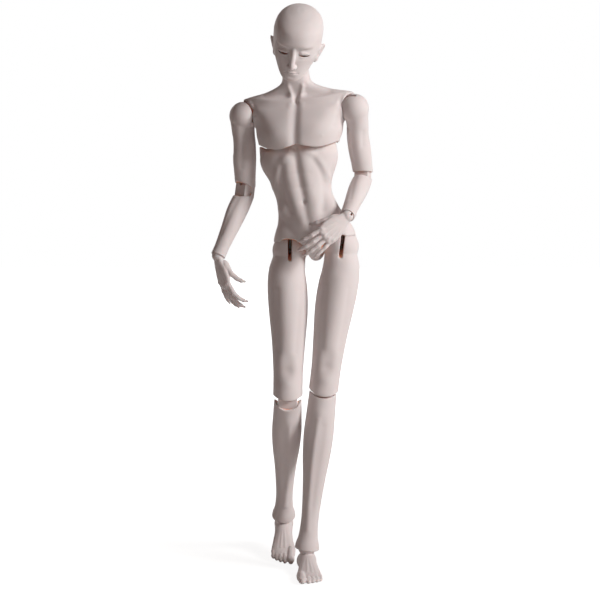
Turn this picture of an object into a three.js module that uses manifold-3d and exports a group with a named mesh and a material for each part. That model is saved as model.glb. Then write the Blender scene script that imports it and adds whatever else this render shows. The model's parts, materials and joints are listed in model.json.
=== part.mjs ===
// A strung, ball jointed male doll of about 70 cm, in a walking stance.
// Hollow resin pieces meet in balls, sockets and double hinged elbows and knees.
// Elastic, wire hooks and pins inside hold them together.
// Millimetres, +Z up, +X to the viewer's right, and the doll looks along -Y.
import * as THREE from 'three';
import { mergeVertices } from 'three/addons/utils/BufferGeometryUtils.js';
import Module from 'manifold-3d';

const wasm = await Module();
wasm.setup();

// Fits between pieces
const seatGap = 0.3; // between a ball and its socket
const pinGap = 0.3; // round pins, magnets and elastic
const overrun = 3; // how far a cutting tool passes a surface
const jointOverrun = 60; // how far an open side of a cut runs

// Elastic, hooks and pins
const elasticRadius = 1.5;
const hookWireRadius = 0.8;
const hookLoopRadius = 2.3;
const pinRadius = 1.1;
const slotWidth = 2 * (elasticRadius + pinGap);
const hookSlotWidth = 2 * (hookWireRadius + pinGap);
const channelRadius = elasticRadius + pinGap;

// Lower torso: belly and pelvis in one piece, measured up from the line of the hips
const hipHalfSpan = 32;
const hipBallRadius = 21.5;
const torsoHalfWidth = 51;
const torsoHalfDepth = 30;
const waistPivotHeight = 119;
const waistPivotShift = -7.5;
const waistPivotBack = 6;
const domeHalfWidth = 44;
const domeHalfDepth = 29;
const crotchDrop = 14;
const crotchHalfWidth = 11;
const legOpeningInset = 8.5;

// Chest and neck, measured from the line of the shoulders
const shoulderHalfSpan = 68.4;
const shoulderBallRadius = 17.8;
const chestHalfWidth = 63;
const chestHalfDepth = 34;
const chestDrop = 43;
const waistPivotDrop = 48;
const domeGap = 2.8;
const neckHeight = 57;
const neckForward = 9;
const neckBallRadius = 13;
const neckKnotRadius = 1.9;
const collarBoneSize = 3.2;

// Head, measured from the centre of the neck ball
const headHalfWidth = 30;
const headHalfDepth = 39;
const headHeight = 83.5;
const headWall = 4.5;
const chinDrop = 3;
const chinHalfWidth = 8.5;
const eyeHalfSpan = 12.5;
const eyeSlitWidth = 11;
const eyeSlitHeight = 1.6;
const noseHalfWidth = 5;
const noseReach = 6;
const mouthHalfWidth = 8;
const earThickness = 3;
const headFloorHeight = 19;
const headBarRadius = 1.6;
const headBarHalfLength = 8;
const capSeamLean = 12; // degrees from upright
const magnetRadius = 1.5;
const magnetThickness = 1.6;

// Arms, each length from one joint centre to the next
const upperArmLength = 87;
const upperArmHalfWidth = 13.4;
const upperArmHalfDepth = 14.2;
const elbowLink = 10.5;
const elbowRadius = 8.6;
const elbowHalfWidth = 8.8;
const forearmLength = 84;
const forearmHalfWidth = 12.2;
const forearmHalfDepth = 12.6;
const wristBallRadius = 7.6;
const elbowRimDrop = 1.6;
const elbowSeam = 6;
const wristHookShank = 14;

// Hands
const palmLength = 35;
const palmHalfWidth = 14.2;
const palmHalfThickness = 5.6;
const fingerLength = 37;
const fingerRadius = 3.1;
const thumbLength = 31;
const thumbCurl = 12; // degrees at each bone
const thumbSpread = 38; // degrees
const thumbThickShare = 1.15;

// Legs
const thighLength = 178;
const thighHalfWidth = 25;
const thighHalfDepth = 26.5;
const kneeLink = 13;
const kneeRadius = 11.6;
const kneeHalfWidth = 11.7;
const kneecapDrop = 8;
const kneecapRise = 4.5;
const kneeSeam = 1.6; // between thigh and shin on a straight leg
const shinLength = 184;
const shinHalfWidth = 18.5;
const shinHalfDepth = 20;
const ankleBallRadius = 11.6;
const ankleOutset = 4;
const ankleHookShank = 16;
const hookPlay = 1.2;

// Feet
const ankleHeight = 30;
const heelReach = 25;
const instepReach = 52;
const toeLength = 25;
const footHalfWidth = 15.5;
const toeRadius = 4.4;

// How far slots and ends are opened, in degrees
const linkSlot = 80; // each hinge of a knee or elbow, for the elastic
const foldAngle = 33; // the folding side of a limb's end
const shoulderSlot = [-8, 112];
const hipSlot = [-35, 126];
const waistSlot = 30;
const elbowCordSlot = 50;
const wristSwing = 75;
const ankleSwing = 50;
const hookPinLoop = [45, 345];
const hookTopLoop = [180, 465];

// The stance: degrees about X, Y and Z as seen in the room, bends of the double hinges, turn and bend of wrists
const stance = {
  pelvis: [0, -5, -9],
  chest: [0, -3.35, -9],
  head: [38, 5.5, -8],
  upperArm: { right: [8.5, -0.9, -44], left: [28.5, -8.2, -15] },
  elbowBend: { right: [12, 22], left: [45, 43] },
  wrist: { right: [159, -40], left: [-117, -42] },
  thigh: { right: [-4.8, 0.8, 0], left: [-0.3, 7.0, 0] },
  kneeBend: { right: [15, 22], left: [1, 1] },
  foot: { right: [19.8, 0, 0], left: [0, 0, 3] },
};

// How finely round forms are faceted
const limbSides = 12;
const torsoSides = 16;
const ballSides = 12;
const detailSides = 8;
const hookSides = 5;
const smallSides = 6;

// Materials
const resin = new THREE.MeshStandardMaterial({ color: 0xe4d8d6, roughness: 0.62, metalness: 0 });
const steel = new THREE.MeshStandardMaterial({ color: 0xb9bcc0, roughness: 0.3, metalness: 1 });
const nickel = new THREE.MeshStandardMaterial({ color: 0xc9c9c6, roughness: 0.25, metalness: 1 });
const cordWhite = new THREE.MeshStandardMaterial({ color: 0xf1efe9, roughness: 0.85, metalness: 0 });

const vector = (x, y, z) => new THREE.Vector3(x, y, z);
const radians = THREE.MathUtils.degToRad;
const up = vector(0, 0, 1);
const right = vector(1, 0, 0);
const back = vector(0, 1, 0);

// Turns a closed three.js geometry into a solid that can be joined and cut.
function solidOf(geometry) {
  const bare = geometry.index ? geometry.toNonIndexed() : geometry.clone();
  bare.deleteAttribute('normal');
  bare.deleteAttribute('uv');
  const merged = mergeVertices(bare);
  return new wasm.Manifold(new wasm.Mesh({
    numProp: 3,
    vertProperties: new Float32Array(merged.attributes.position.array),
    triVerts: new Uint32Array(merged.index.array),
  }));
}

function geometryOf(solid) {
  const { vertProperties, triVerts } = solid.getMesh();
  const geometry = new THREE.BufferGeometry();
  geometry.setAttribute('position', new THREE.BufferAttribute(vertProperties, 3));
  geometry.setIndex(new THREE.BufferAttribute(triVerts, 1));
  return geometry;
}

const join = (first, ...others) => others.reduce((sum, next) => sum.add(next), first);
const cut = (first, ...others) => others.reduce((sum, next) => sum.subtract(next), first);

// Closes a stack of rings of points into one skin with flat ends.
function skin(rings) {
  const sides = rings[0].length;
  const points = rings.flat();
  const middle = (ring) => ring.reduce((sum, p) => sum.add(p), vector(0, 0, 0)).divideScalar(sides);
  const start = points.push(middle(rings[0])) - 1;
  const end = points.push(middle(rings[rings.length - 1])) - 1;
  const faces = [];
  for (let j = 0; j < sides; j++) {
    const next = (j + 1) % sides;
    for (let i = 0; i + 1 < rings.length; i++) {
      const [a, b] = [i * sides + j, i * sides + next];
      faces.push(a, b, b + sides, a, b + sides, a + sides);
    }
    const last = (rings.length - 1) * sides;
    faces.push(start, next, j, end, last + j, last + next);
  }
  const geometry = new THREE.BufferGeometry();
  geometry.setAttribute('position', new THREE.Float32BufferAttribute(points.flatMap((p) => p.toArray()), 3));
  geometry.setIndex(faces);
  return geometry;
}

// Fills in rows between hand placed ones along a smooth curve through each column.
function smoothRows(rows, count) {
  const slope = (i, k) => {
    const [before, after] = [rows[Math.max(i - 1, 0)], rows[Math.min(i + 1, rows.length - 1)]];
    return (after[k] - before[k]) / (after[0] - before[0]);
  };
  const made = [];
  for (let n = 0; n < count; n++) {
    const at = rows[0][0] + ((rows[rows.length - 1][0] - rows[0][0]) * n) / (count - 1);
    let i = 0;
    while (i < rows.length - 2 && (at - rows[i + 1][0]) * (rows[1][0] - rows[0][0]) > 0) i++;
    const span = rows[i + 1][0] - rows[i][0];
    const t = Math.min(Math.max((at - rows[i][0]) / span, 0), 1);
    const [t2, t3] = [t * t, t * t * t];
    made.push(rows[i].map((value, k) => (k === 0 ? at
      : (2 * t3 - 3 * t2 + 1) * value + (t3 - 2 * t2 + t) * span * slope(i, k)
        + (3 * t2 - 2 * t3) * rows[i + 1][k] + (t3 - t2) * span * slope(i + 1, k))));
  }
  return made;
}

// A limb or torso: rows of [height, half width, front, back, shift in X, shift in Y], lowest first.
// squareness 2 gives ellipses, more gives squarer ones. relief(x, z, facing) swells the surface.
function loft(rows, rings, sides, squareness = 2, relief = null) {
  const power = 2 / squareness;
  const bent = (value) => Math.sign(value) * Math.abs(value) ** power;
  return solidOf(skin(smoothRows(rows, rings).map(([z, wide, front, rear, shiftX, shiftY]) => {
    const ring = [];
    for (let j = 0; j < sides; j++) {
      const angle = (2 * Math.PI * j) / sides;
      const [c, s] = [bent(Math.cos(angle)), bent(Math.sin(angle))];
      const swell = relief ? relief(wide * c, z, s) : 0;
      ring.push(vector(
        shiftX + (wide + swell) * c,
        shiftY + ((s > 0 ? rear : front) + swell) * s,
        z,
      ));
    }
    return ring;
  })));
}

// A round or oval bar along a path: each stop is [point, half width, half thickness].
function bar(stops, sides, flatTo = back) {
  const points = stops.map(([point]) => point);
  return solidOf(skin(stops.map(([point, wide, thick], i) => {
    const ahead = points[Math.min(i + 1, points.length - 1)].clone().sub(points[Math.max(i - 1, 0)]).normalize();
    const across = flatTo.clone().cross(ahead).normalize();
    const rise = ahead.clone().cross(across);
    const ring = [];
    for (let j = 0; j < sides; j++) {
      const angle = (2 * Math.PI * j) / sides;
      ring.push(point.clone()
        .addScaledVector(across, wide * Math.cos(angle))
        .addScaledVector(rise, thick * Math.sin(angle)));
    }
    return ring;
  })));
}

function wire(points, radius, sides = smallSides, flatTo = right) {
  return bar(points.map((point) => [point, radius, radius]), sides, flatTo);
}

function ball(radius, centre = vector(0, 0, 0), sides = ballSides) {
  return solidOf(new THREE.SphereGeometry(radius, sides, sides / 2).rotateX(Math.PI / 2)
    .translate(centre.x, centre.y, centre.z));
}

// A hollow for a ball or a lobe: its flats, and not just its corners, stay clear of what turns in it.
const clearOf = (radius, sides) => (radius + seatGap) / Math.cos(Math.PI / sides);

function socket(radius, centre, facets = torsoSides) {
  return ball(clearOf(radius, facets) / Math.cos(Math.PI / facets), centre, facets);
}

function oval(halfX, halfY, halfZ, centre, sides = ballSides) {
  return solidOf(new THREE.SphereGeometry(1, sides, sides / 2).rotateX(Math.PI / 2)
    .scale(halfX, halfY, halfZ).translate(centre.x, centre.y, centre.z));
}

// A round rod between two points.
function rod(from, to, radius, sides = smallSides, farRadius = radius) {
  const along = to.clone().sub(from);
  const geometry = new THREE.CylinderGeometry(farRadius, radius, along.length(), sides);
  geometry.applyQuaternion(new THREE.Quaternion().setFromUnitVectors(back, along.normalize()));
  const centre = from.clone().add(to).multiplyScalar(0.5);
  return solidOf(geometry.translate(centre.x, centre.y, centre.z));
}

function block(sizeX, sizeY, sizeZ, centre, tilt = 0) {
  return solidOf(new THREE.BoxGeometry(sizeX, sizeY, sizeZ).rotateX(radians(tilt))
    .translate(centre.x, centre.y, centre.z));
}

// A flat outline in the XZ plane, pushed through the whole depth along Y.
function slabFromFront(outline, depth) {
  const shape = new THREE.Shape(outline.map(([x, z]) => new THREE.Vector2(x, z)));
  return solidOf(new THREE.ExtrudeGeometry(shape, { depth, bevelEnabled: false })
    .rotateX(Math.PI / 2).translate(0, depth / 2, 0));
}

// Outlines of the lofted pieces, as shares of each piece's own length, half width and half depth.
// Columns: height, half width, front, back, shift across, shift back.
const bellyShares = [
  [-0.13, 0.26, 0.42, 0.50, 0, 0.10],
  [-0.06, 0.62, 0.62, 0.78, 0, 0.06],
  [0.00, 0.86, 0.76, 0.98, 0, 0.02],
  [0.09, 0.99, 0.86, 1.04, 0, 0],
  [0.18, 0.95, 0.88, 1.00, 0, 0],
  [0.28, 0.84, 0.86, 0.90, -0.02, 0],
  [0.40, 0.74, 0.83, 0.80, -0.08, 0.02],
  [0.52, 0.69, 0.82, 0.76, -0.15, 0.06],
  [0.62, 0.70, 0.84, 0.78, -0.20, 0.10],
  [0.73, 0.77, 0.90, 0.82, -0.21, 0.14],
  [0.85, 0.87, 0.94, 0.88, -0.20, 0.17],
  [0.95, 0.91, 0.94, 0.91, -0.185, 0.19],
  [1.04, 0.855, 0.87, 0.86, -0.18, 0.20],
];
const chestShares = [
  [-1.04, 0.79, 1.02, 0.86, 0, 0.06],
  [-0.88, 0.80, 1.06, 0.90, 0, 0.06],
  [-0.62, 0.84, 1.04, 0.95, 0, 0.06],
  [-0.30, 0.87, 0.96, 1.00, 0, 0.06],
  [0.00, 0.99, 0.84, 1.00, 0, 0.08],
  [0.24, 1.01, 0.66, 0.92, 0, 0.10],
  [0.40, 1.03, 0.50, 0.76, 0, 0.12],
  [0.50, 0.93, 0.43, 0.65, 0, 0.12],
  [0.60, 0.66, 0.42, 0.58, 0, 0.08],
  [0.71, 0.45, 0.42, 0.50, 0, 0.02],
  [0.83, 0.30, 0.42, 0.45, 0, -0.06],
  [0.98, 0.245, 0.41, 0.42, 0, -0.14],
  [1.15, 0.235, 0.40, 0.40, 0, -0.20],
  [1.32, 0.20, 0.36, 0.36, 0, -0.265],
];
const thighShares = [
  [-1.06, 0.66, 0.66, 0.56, 0, 0],
  [-1.00, 0.72, 0.72, 0.62, 0, 0],
  [-0.93, 0.72, 0.72, 0.64, 0, 0],
  [-0.82, 0.735, 0.73, 0.68, 0, 0],
  [-0.62, 0.83, 0.84, 0.79, 0, 0.01],
  [-0.43, 0.95, 0.94, 0.93, 0.03, 0.02],
  [-0.27, 0.98, 0.96, 1.00, 0.09, 0.03],
  [-0.14, 0.90, 0.87, 0.94, 0.13, 0.02],
  [-0.035, 0.79, 0.73, 0.75, 0.02, 0],
];
const shinShares = [
  [-1.015, 0.78, 0.68, 0.72, 0, 0.02],
  [-0.985, 0.76, 0.66, 0.70, 0, 0.02],
  [-0.93, 0.63, 0.58, 0.62, 0, 0.03],
  [-0.82, 0.585, 0.54, 0.62, 0, 0.05],
  [-0.67, 0.65, 0.58, 0.70, 0, 0.08],
  [-0.52, 0.77, 0.66, 0.85, 0, 0.10],
  [-0.38, 0.92, 0.76, 1.00, 0, 0.10],
  [-0.23, 1.00, 0.83, 1.03, 0, 0.06],
  [-0.08, 0.955, 0.86, 0.93, 0, 0.02],
  [0.10, 0.90, 0.86, 0.82, 0, 0],
];
const upperArmShares = [
  [-1.05, 0.93, 0.88, 0.88, 0, 0],
  [-0.86, 0.96, 0.94, 0.92, 0, 0],
  [-0.62, 1.02, 1.04, 0.98, -0.03, 0],
  [-0.40, 0.985, 1.02, 1.00, -0.03, 0],
  [-0.20, 0.985, 1.06, 1.03, 0.10, 0],
  [-0.06, 1.13, 1.14, 1.12, 0.10, 0],
  [0.02, 1.22, 1.15, 1.14, 0.04, 0],
];
const forearmShares = [
  [-1.00, 0.76, 0.70, 0.70, 0, 0],
  [-0.96, 0.76, 0.70, 0.70, 0, 0],
  [-0.85, 0.76, 0.70, 0.70, 0, 0],
  [-0.60, 0.86, 0.84, 0.82, 0, 0],
  [-0.34, 0.98, 1.00, 0.97, 0, 0],
  [-0.14, 1.00, 1.00, 1.02, 0, 0],
  [0.06, 0.95, 0.92, 0.98, 0, 0],
];
// Columns: height, half width, front of the face and back of the skull, from the chin up
const headShares = [
  [0.00, 0.20, 1.06, -0.85],
  [0.035, 0.36, 1.13, -0.62],
  [0.09, 0.56, 1.15, -0.36],
  [0.175, 0.70, 1.12, 0.35],
  [0.27, 0.80, 1.10, 0.70],
  [0.38, 0.88, 1.06, 0.90],
  [0.52, 0.95, 1.01, 1.00],
  [0.62, 0.98, 1.03, 1.02],
  [0.73, 1.00, 1.00, 1.00],
  [0.85, 0.89, 0.86, 0.90],
  [0.94, 0.62, 0.58, 0.66],
  [0.985, 0.32, 0.28, 0.36],
  [1.00, 0.14, 0.12, 0.20],
];
const eyeHeightShare = 0.50;
// Columns: height in the head, reach of its middle line, half width, half thickness
const noseShares = [
  [0.56, 1.00, 0.50, 0.42], [0.45, 1.06, 0.55, 0.66], [0.375, 1.15, 0.85, 0.82], [0.322, 1.08, 0.80, 0.42],
];
// Columns: height in the head and reach towards the front
const lipShares = [[0.238, 1.04], [0.192, 1.04]];
const chinShare = [0.98, 0.07];
const browShare = [0.90, 0.575];
// Columns: height in the head, place across and back, half thickness and half width
const earShares = [
  [0.33, 0.83, 0.06, 0.40, 0.83], [0.46, 0.93, 0.08, 0.50, 1.67],
  [0.56, 1.00, 0.12, 0.40, 2.00], [0.61, 1.01, 0.14, 0.25, 1.00],
];
// Columns: place across, forward and up, half thickness of a collar bone
const collarBoneShares = [
  [0.08, 0.42, 0.42, 0.6], [0.25, 0.47, 0.39, 1], [0.48, 0.44, 0.39, 1], [0.82, 0.20, 0.45, 0.8],
];
// Columns: place down the palm in palm lengths, half width and half thickness
const palmShares = [[0.45, 0.88, 1.00], [0.80, 1.00, 0.95], [1.12, 0.93, 0.70]];
const earHeightShare = 0.46;
const capSeamShare = 0.20;
const magnetSpanShare = 0.82;
// Columns: place across the palm, drop of the knuckle, length, thickness, curl and spread in degrees
const fingerShares = [
  [0.70, 0.92, 0.92, 1.00, 11, 3],
  [0.23, 0.98, 1.00, 1.02, 13, 1],
  [-0.24, 0.95, 0.94, 0.98, 16, -1],
  [-0.68, 0.86, 0.78, 0.88, 18, -4],
];
// Columns: length of each bone of a finger, and how slim it is at its end
const boneShares = [[0.40, 0.98], [0.28, 0.92], [0.20, 0.82], [0.12, 0.42]];
// Columns: place along the foot, height of the top, half width
const footShares = [
  [1.00, 0.22, 0.50],
  [0.86, 0.50, 0.70],
  [0.50, 0.70, 0.80],
  [0.10, 0.84, 0.76],
  [-0.24, 0.74, 0.74],
  [-0.55, 0.52, 0.86],
  [-0.82, 0.36, 1.00],
  [-1.04, 0.27, 0.97],
];
// Columns: place across the foot, length and thickness, from the big toe
const toeShares = [
  [-0.62, 1.00, 1.18], [-0.14, 0.92, 0.86], [0.22, 0.80, 0.82], [0.54, 0.66, 0.78], [0.82, 0.48, 0.74],
];

// Columns: reach and rise along a toe, half width and half height
const toeBoneShares = [
  [0, 0.23, 1, 1], [0.45, 0.23, 0.82, 0.86], [0.85, 0, 0.92, 0.85], [1.08, -0.11, 0.5, 0.45],
];

const scaleRows = (shares, length, halfWidth, halfDepth) => shares.map(
  ([z, wide, front, rear, shiftX = 0, shiftY = 0]) => [
    z * length, wide * halfWidth, front * halfDepth, rear * halfDepth, shiftX * halfWidth, shiftY * halfDepth,
  ],
);

const mirrored = (side, rows) => rows.map(([z, wide, front, rear, shiftX, shiftY]) => [
  z, wide, front, rear, side * shiftX, shiftY,
]);

// Adds soft swellings: each row is [x, z, reach in x, reach in z, height], mirrored across the middle.
// Positive facing is the back, negative the front.
function swellings(rows, width, height, depth, facing) {
  return (x, z, s) => {
    if (s * facing < 0) return 0;
    return rows.reduce((sum, [atX, atZ, reachX, reachZ, rise]) => {
      const dx = (Math.abs(x) / width - atX) / reachX;
      const dz = (z / height - atZ) / reachZ;
      return sum + rise * depth * Math.exp(-dx * dx - dz * dz) * Math.min(Math.abs(s) * 1.5, 1);
    }, 0);
  };
}

const chestFrontShares = [
  [0.42, -0.62, 0.36, 0.34, 0.12],
  [0.00, -0.45, 0.09, 0.60, -0.07],
  [0.42, 0.42, 0.40, 0.08, 0.10],
  [0.30, 0.20, 0.30, 0.12, -0.07],
];
const chestBackShares = [
  [0.45, -0.25, 0.25, 0.40, 0.07],
  [0.00, -0.20, 0.10, 0.90, -0.10],
];
const bellyFrontShares = [
  [0.26, 0.46, 0.15, 0.22, 0.05],
  [0.00, 0.62, 0.07, 0.34, -0.05],
  [0.50, 0.74, 0.20, 0.12, 0.05],
  [0.72, 0.16, 0.18, 0.10, 0.05],
];
// The pelvis ends in an arch over each thigh, seen from the side: columns back and up
const legOpeningShares = [
  [-4, 0.56], [-0.75, 0.56], [-0.3, 0.15], [0.3, 0], [4, 0], [4, -4], [-4, -4],
];
const bellyBackShares = [
  [0.42, -0.02, 0.34, 0.16, 0.16],
  [0.00, 0.35, 0.09, 0.55, -0.09],
];
const both = (first, second) => (x, z, s) => first(x, z, s) + second(x, z, s);

// Placing pieces: each joint is a named group, turned to its place in the stance.
const doll = new THREE.Group();
const facing = new Map();

function jointGroup(name, parent, position, orientation) {
  const group = new THREE.Group();
  group.name = name;
  group.position.copy(position);
  const inRoom = orientation.isQuaternion ? orientation : new THREE.Quaternion().setFromEuler(
    new THREE.Euler(...orientation.map(radians), 'XYZ'),
  );
  const parentTurn = facing.get(parent) ?? new THREE.Quaternion();
  group.quaternion.copy(parentTurn.clone().invert().multiply(inRoom));
  facing.set(group, inRoom);
  parent.add(group);
  return group;
}

// A hinge that only bends about its own X axis, by degrees from its parent's direction.
function hingeGroup(name, parent, position, bend) {
  const turn = new THREE.Quaternion().setFromAxisAngle(right, radians(bend));
  return jointGroup(name, parent, position, facing.get(parent).clone().multiply(turn));
}

function addPiece(name, solid, material, parent) {
  const mesh = new THREE.Mesh(geometryOf(solid), material);
  mesh.name = name;
  parent.add(mesh);
  return mesh;
}

// An outline in the YZ plane, pushed through along X.
function slabFromSide(outline, width, height = 0) {
  const shape = new THREE.Shape(outline.map(([y, z]) => new THREE.Vector2(y, z)));
  return solidOf(new THREE.ExtrudeGeometry(shape, { depth: width, bevelEnabled: false })
    .translate(0, 0, -width / 2)
    .applyMatrix4(new THREE.Matrix4().makeBasis(back, up, right))
    .translate(0, 0, height));
}

// A slot in which elastic or a hook swings: a fan between two angles, in degrees from straight up.
function fanOutline(radius, from, to, direction) {
  const steps = 4;
  const outline = [[0, 0]];
  for (let i = 0; i <= steps; i++) {
    const angle = radians(from + ((to - from) * i) / steps);
    outline.push([direction * radius * Math.sin(angle), radius * Math.cos(angle)]);
  }
  return outline;
}

// A run of elastic, or the channel that it lies in, through a list of points.
function run(points, radius, roundStart = false) {
  const parts = [];
  points.slice(1).forEach((point, i) => parts.push(rod(points[i], point, radius)));
  points.slice(roundStart ? 0 : 1, -1).forEach((point) => parts.push(ball(radius, point, smallSides)));
  return join(...parts);
}

const elastic = (...points) => run(points, elasticRadius);
const elasticWithKnot = (...points) => run(points, elasticRadius, true);
const channel = (...points) => run(points, channelRadius, true);

// The double hinge of an elbow or knee

// Middle piece: two round lobes, a channel for the elastic, and a slot on the side that it bends to.
function linkPiece(radius, halfWidth, link, direction) {
  const lobe = (z) => rod(vector(-halfWidth, 0, z), vector(halfWidth, 0, z), radius, limbSides);
  const core = block(2 * halfWidth, 2 * radius * Math.cos(Math.PI / limbSides), link, vector(0, 0, -link / 2));
  const reach = radius + overrun;
  return cut(
    join(lobe(0), lobe(-link), core),
    channel(vector(0, 0, reach), vector(0, 0, -link - reach)),
    slabFromSide(fanOutline(reach, 0, linkSlot, direction), slotWidth),
    slabFromSide(fanOutline(reach, 180 - linkSlot, 180, direction), slotWidth, -link),
  );
}

// What the end of a limb loses at a double hinge: the seat of the lobe, the folding side and a curved rim.
// facingDown is 1 for the limb above the hinge, whose end is at the height given, and -1 for the one below.
function hingeEnd(height, radius, halfWidth, direction, facingDown, rimDrop, limbHalfWidth, rimRise = 0) {
  const wide = 2 * (halfWidth + seatGap);
  const far = jointOverrun;
  const seat = join(
    rod(vector(-wide / 2, 0, height), vector(wide / 2, 0, height), clearOf(radius, limbSides), limbSides),
    block(wide, 2 * clearOf(radius, limbSides), far, vector(0, 0, height - (facingDown * far) / 2)),
  );
  const fold = slabFromSide([
    [0, 0],
    [direction * far, facingDown * far * Math.tan(radians(foldAngle))],
    [direction * far, -facingDown * far],
    [0, -facingDown * far],
  ], 4 * limbHalfWidth, height);
  const steps = 10;
  const rim = [];
  for (let i = 0; i <= steps; i++) {
    const share = (2 * i) / steps - 1;
    rim.push([share * limbHalfWidth * 1.2, height + rimRise - rimDrop * (1 - share * share)]);
  }
  rim.push([limbHalfWidth * 1.2, height - facingDown * far], [-limbHalfWidth * 1.2, height - facingDown * far]);
  return join(seat, fold, slabFromFront(rim, 2 * far));
}

// A wire hook: a closed loop round the pin at the origin, a shank, and a loop above for the elastic or bar.
function hookPiece(shank, lowRadius, highRadius) {
  const points = [];
  const steps = 5;
  const loop = (centreZ, radius, from, to) => {
    for (let i = 0; i <= steps; i++) {
      const angle = radians(from + ((to - from) * i) / steps);
      points.push(vector(0, radius * Math.sin(angle), centreZ + radius * Math.cos(angle)));
    }
  };
  loop(0, lowRadius, ...hookPinLoop);
  loop(shank, highRadius, ...hookTopLoop);
  return wire(points, hookWireRadius, hookSides);
}

// Steel pins lie across the joint, in the hand, the foot and the head.
const pinPiece = (halfLength, radius) => rod(vector(-halfLength, 0, 0), vector(halfLength, 0, 0), radius);

// What a hand or foot loses for its pin and for the hook that swings round it.
function hookSeat(ballRadius, swing) {
  const loopReach = hookLoopRadius + hookWireRadius + pinGap;
  return join(
    pinPiece(ballRadius + overrun, pinRadius + pinGap),
    rod(vector(-hookSlotWidth / 2, 0, 0), vector(hookSlotWidth / 2, 0, 0), loopReach, ballSides),
    slabFromSide(fanOutline(ballRadius + overrun, -swing, swing, 1), hookSlotWidth),
  );
}

// The two sides of the doll: left is the doll's own left, on the viewer's right.
const sides = [['left', 1], ['right', -1]];
const knotGap = elasticRadius * 1.8; // how far elastic stays off the knot in the middle of a joint
const knotRoom = elasticRadius * 4; // the hollow round a knot in a ball

// Lower torso
const pelvisGroup = jointGroup('pelvis', doll, vector(0, 0, 0), stance.pelvis);
const waistPivot = vector(waistPivotShift, waistPivotBack, waistPivotHeight);
const torsoJunction = vector(0, 0, waistPivotHeight * 0.42);
const hipCentre = (side) => vector(side * hipHalfSpan, 0, 0);
const hipMouth = (side, height) => vector(side * hipHalfSpan, 0, height);

function lowerTorso() {
  const relief = both(
    swellings(bellyFrontShares, torsoHalfWidth, waistPivotHeight, torsoHalfDepth, -1),
    swellings(bellyBackShares, torsoHalfWidth, waistPivotHeight, torsoHalfDepth, 1),
  );
  const rows = scaleRows(bellyShares, waistPivotHeight, torsoHalfWidth, torsoHalfDepth);
  const dome = oval(domeHalfWidth, domeHalfDepth, domeHalfDepth, waistPivot, torsoSides);
  const crotch = oval(crotchHalfWidth, torsoHalfDepth * 0.6, crotchDrop, vector(0, 0, 0));
  const made = join(loft(rows, 13, torsoSides, 2.25, relief), dome, crotch);
  const slots = slabFromSide(fanOutline(domeHalfDepth + overrun, -waistSlot, waistSlot, 1), slotWidth)
    .translate(waistPivot.toArray());
  const legOpenings = sides.map(([, side]) => slabFromSide(
    legOpeningShares.map(([y, z]) => [y * thighHalfDepth, z * thighHalfDepth]), 2 * jointOverrun,
  ).intersect(block(
    jointOverrun, 4 * jointOverrun, 4 * jointOverrun,
    vector(side * (legOpeningInset + jointOverrun / 2), 0, 0),
  )));
  const sockets = sides.map(([, side]) => join(
    socket(hipBallRadius, hipCentre(side)),
    channel(hipMouth(side, 0), hipMouth(side, hipBallRadius * 1.3), torsoJunction),
  ));
  return cut(
    made, slots, ball(knotRoom, waistPivot, smallSides), channel(torsoJunction, waistPivot),
    ...legOpenings, ...sockets,
  );
}

addPiece('lower_torso', lowerTorso(), resin, pelvisGroup);

const towards = (from, to, distance) => from.clone().add(to.clone().sub(from).setLength(distance));
addPiece('torso_elastic', join(
  run([torsoJunction, towards(waistPivot, torsoJunction, knotGap)], elasticRadius, true),
  ...sides.map(([, side]) => elastic(
    hipMouth(side, hipBallRadius + seatGap), hipMouth(side, hipBallRadius * 1.3), torsoJunction,
  )),
), cordWhite, pelvisGroup);

// Waist: the elastic bends with the chest over the dome
const waistGroup = jointGroup('waist', pelvisGroup, waistPivot, stance.pelvis);
addPiece('waist_elastic', elasticWithKnot(vector(0, 0, 0), vector(0, 0, domeHalfDepth)), cordWhite, waistGroup);

// Chest and neck
const chestGroup = jointGroup('chest_joint', pelvisGroup, waistPivot, stance.chest);
const shoulderLine = jointGroup('shoulder_line', chestGroup, vector(0, -waistPivotBack, waistPivotDrop), stance.chest);
const neckBase = vector(0, -neckForward, neckHeight);
const chestPivot = vector(0, waistPivotBack, -waistPivotDrop);

function chestShell() {
  const relief = both(
    swellings(chestFrontShares, chestHalfWidth, chestDrop, chestHalfDepth, -1),
    swellings(chestBackShares, chestHalfWidth, chestDrop, chestHalfDepth, 1),
  );
  const rows = scaleRows(chestShares, chestDrop, chestHalfWidth, chestHalfDepth);
  const collarBones = sides.map(([, side]) => bar(collarBoneShares.map(([x, y, z, thick]) => [
    vector(side * chestHalfWidth * x, -chestHalfDepth * y, chestDrop * z),
    collarBoneSize * thick, collarBoneSize * thick,
  ]), smallSides));
  return join(loft(rows, 14, torsoSides, 2.2, relief), ball(neckBallRadius, neckBase), ...collarBones);
}

// The under edge of the chest, seen from the front: lowest below each breast muscle.
const underEdgeShares = [
  [-1.2, -0.80], [-0.80, -0.86], [-0.60, -0.98], [-0.38, -1.03], [-0.18, -0.99], [0, -0.92],
  [0.18, -0.99], [0.38, -1.03], [0.60, -0.98], [0.80, -0.86], [1.2, -0.80],
];

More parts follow.
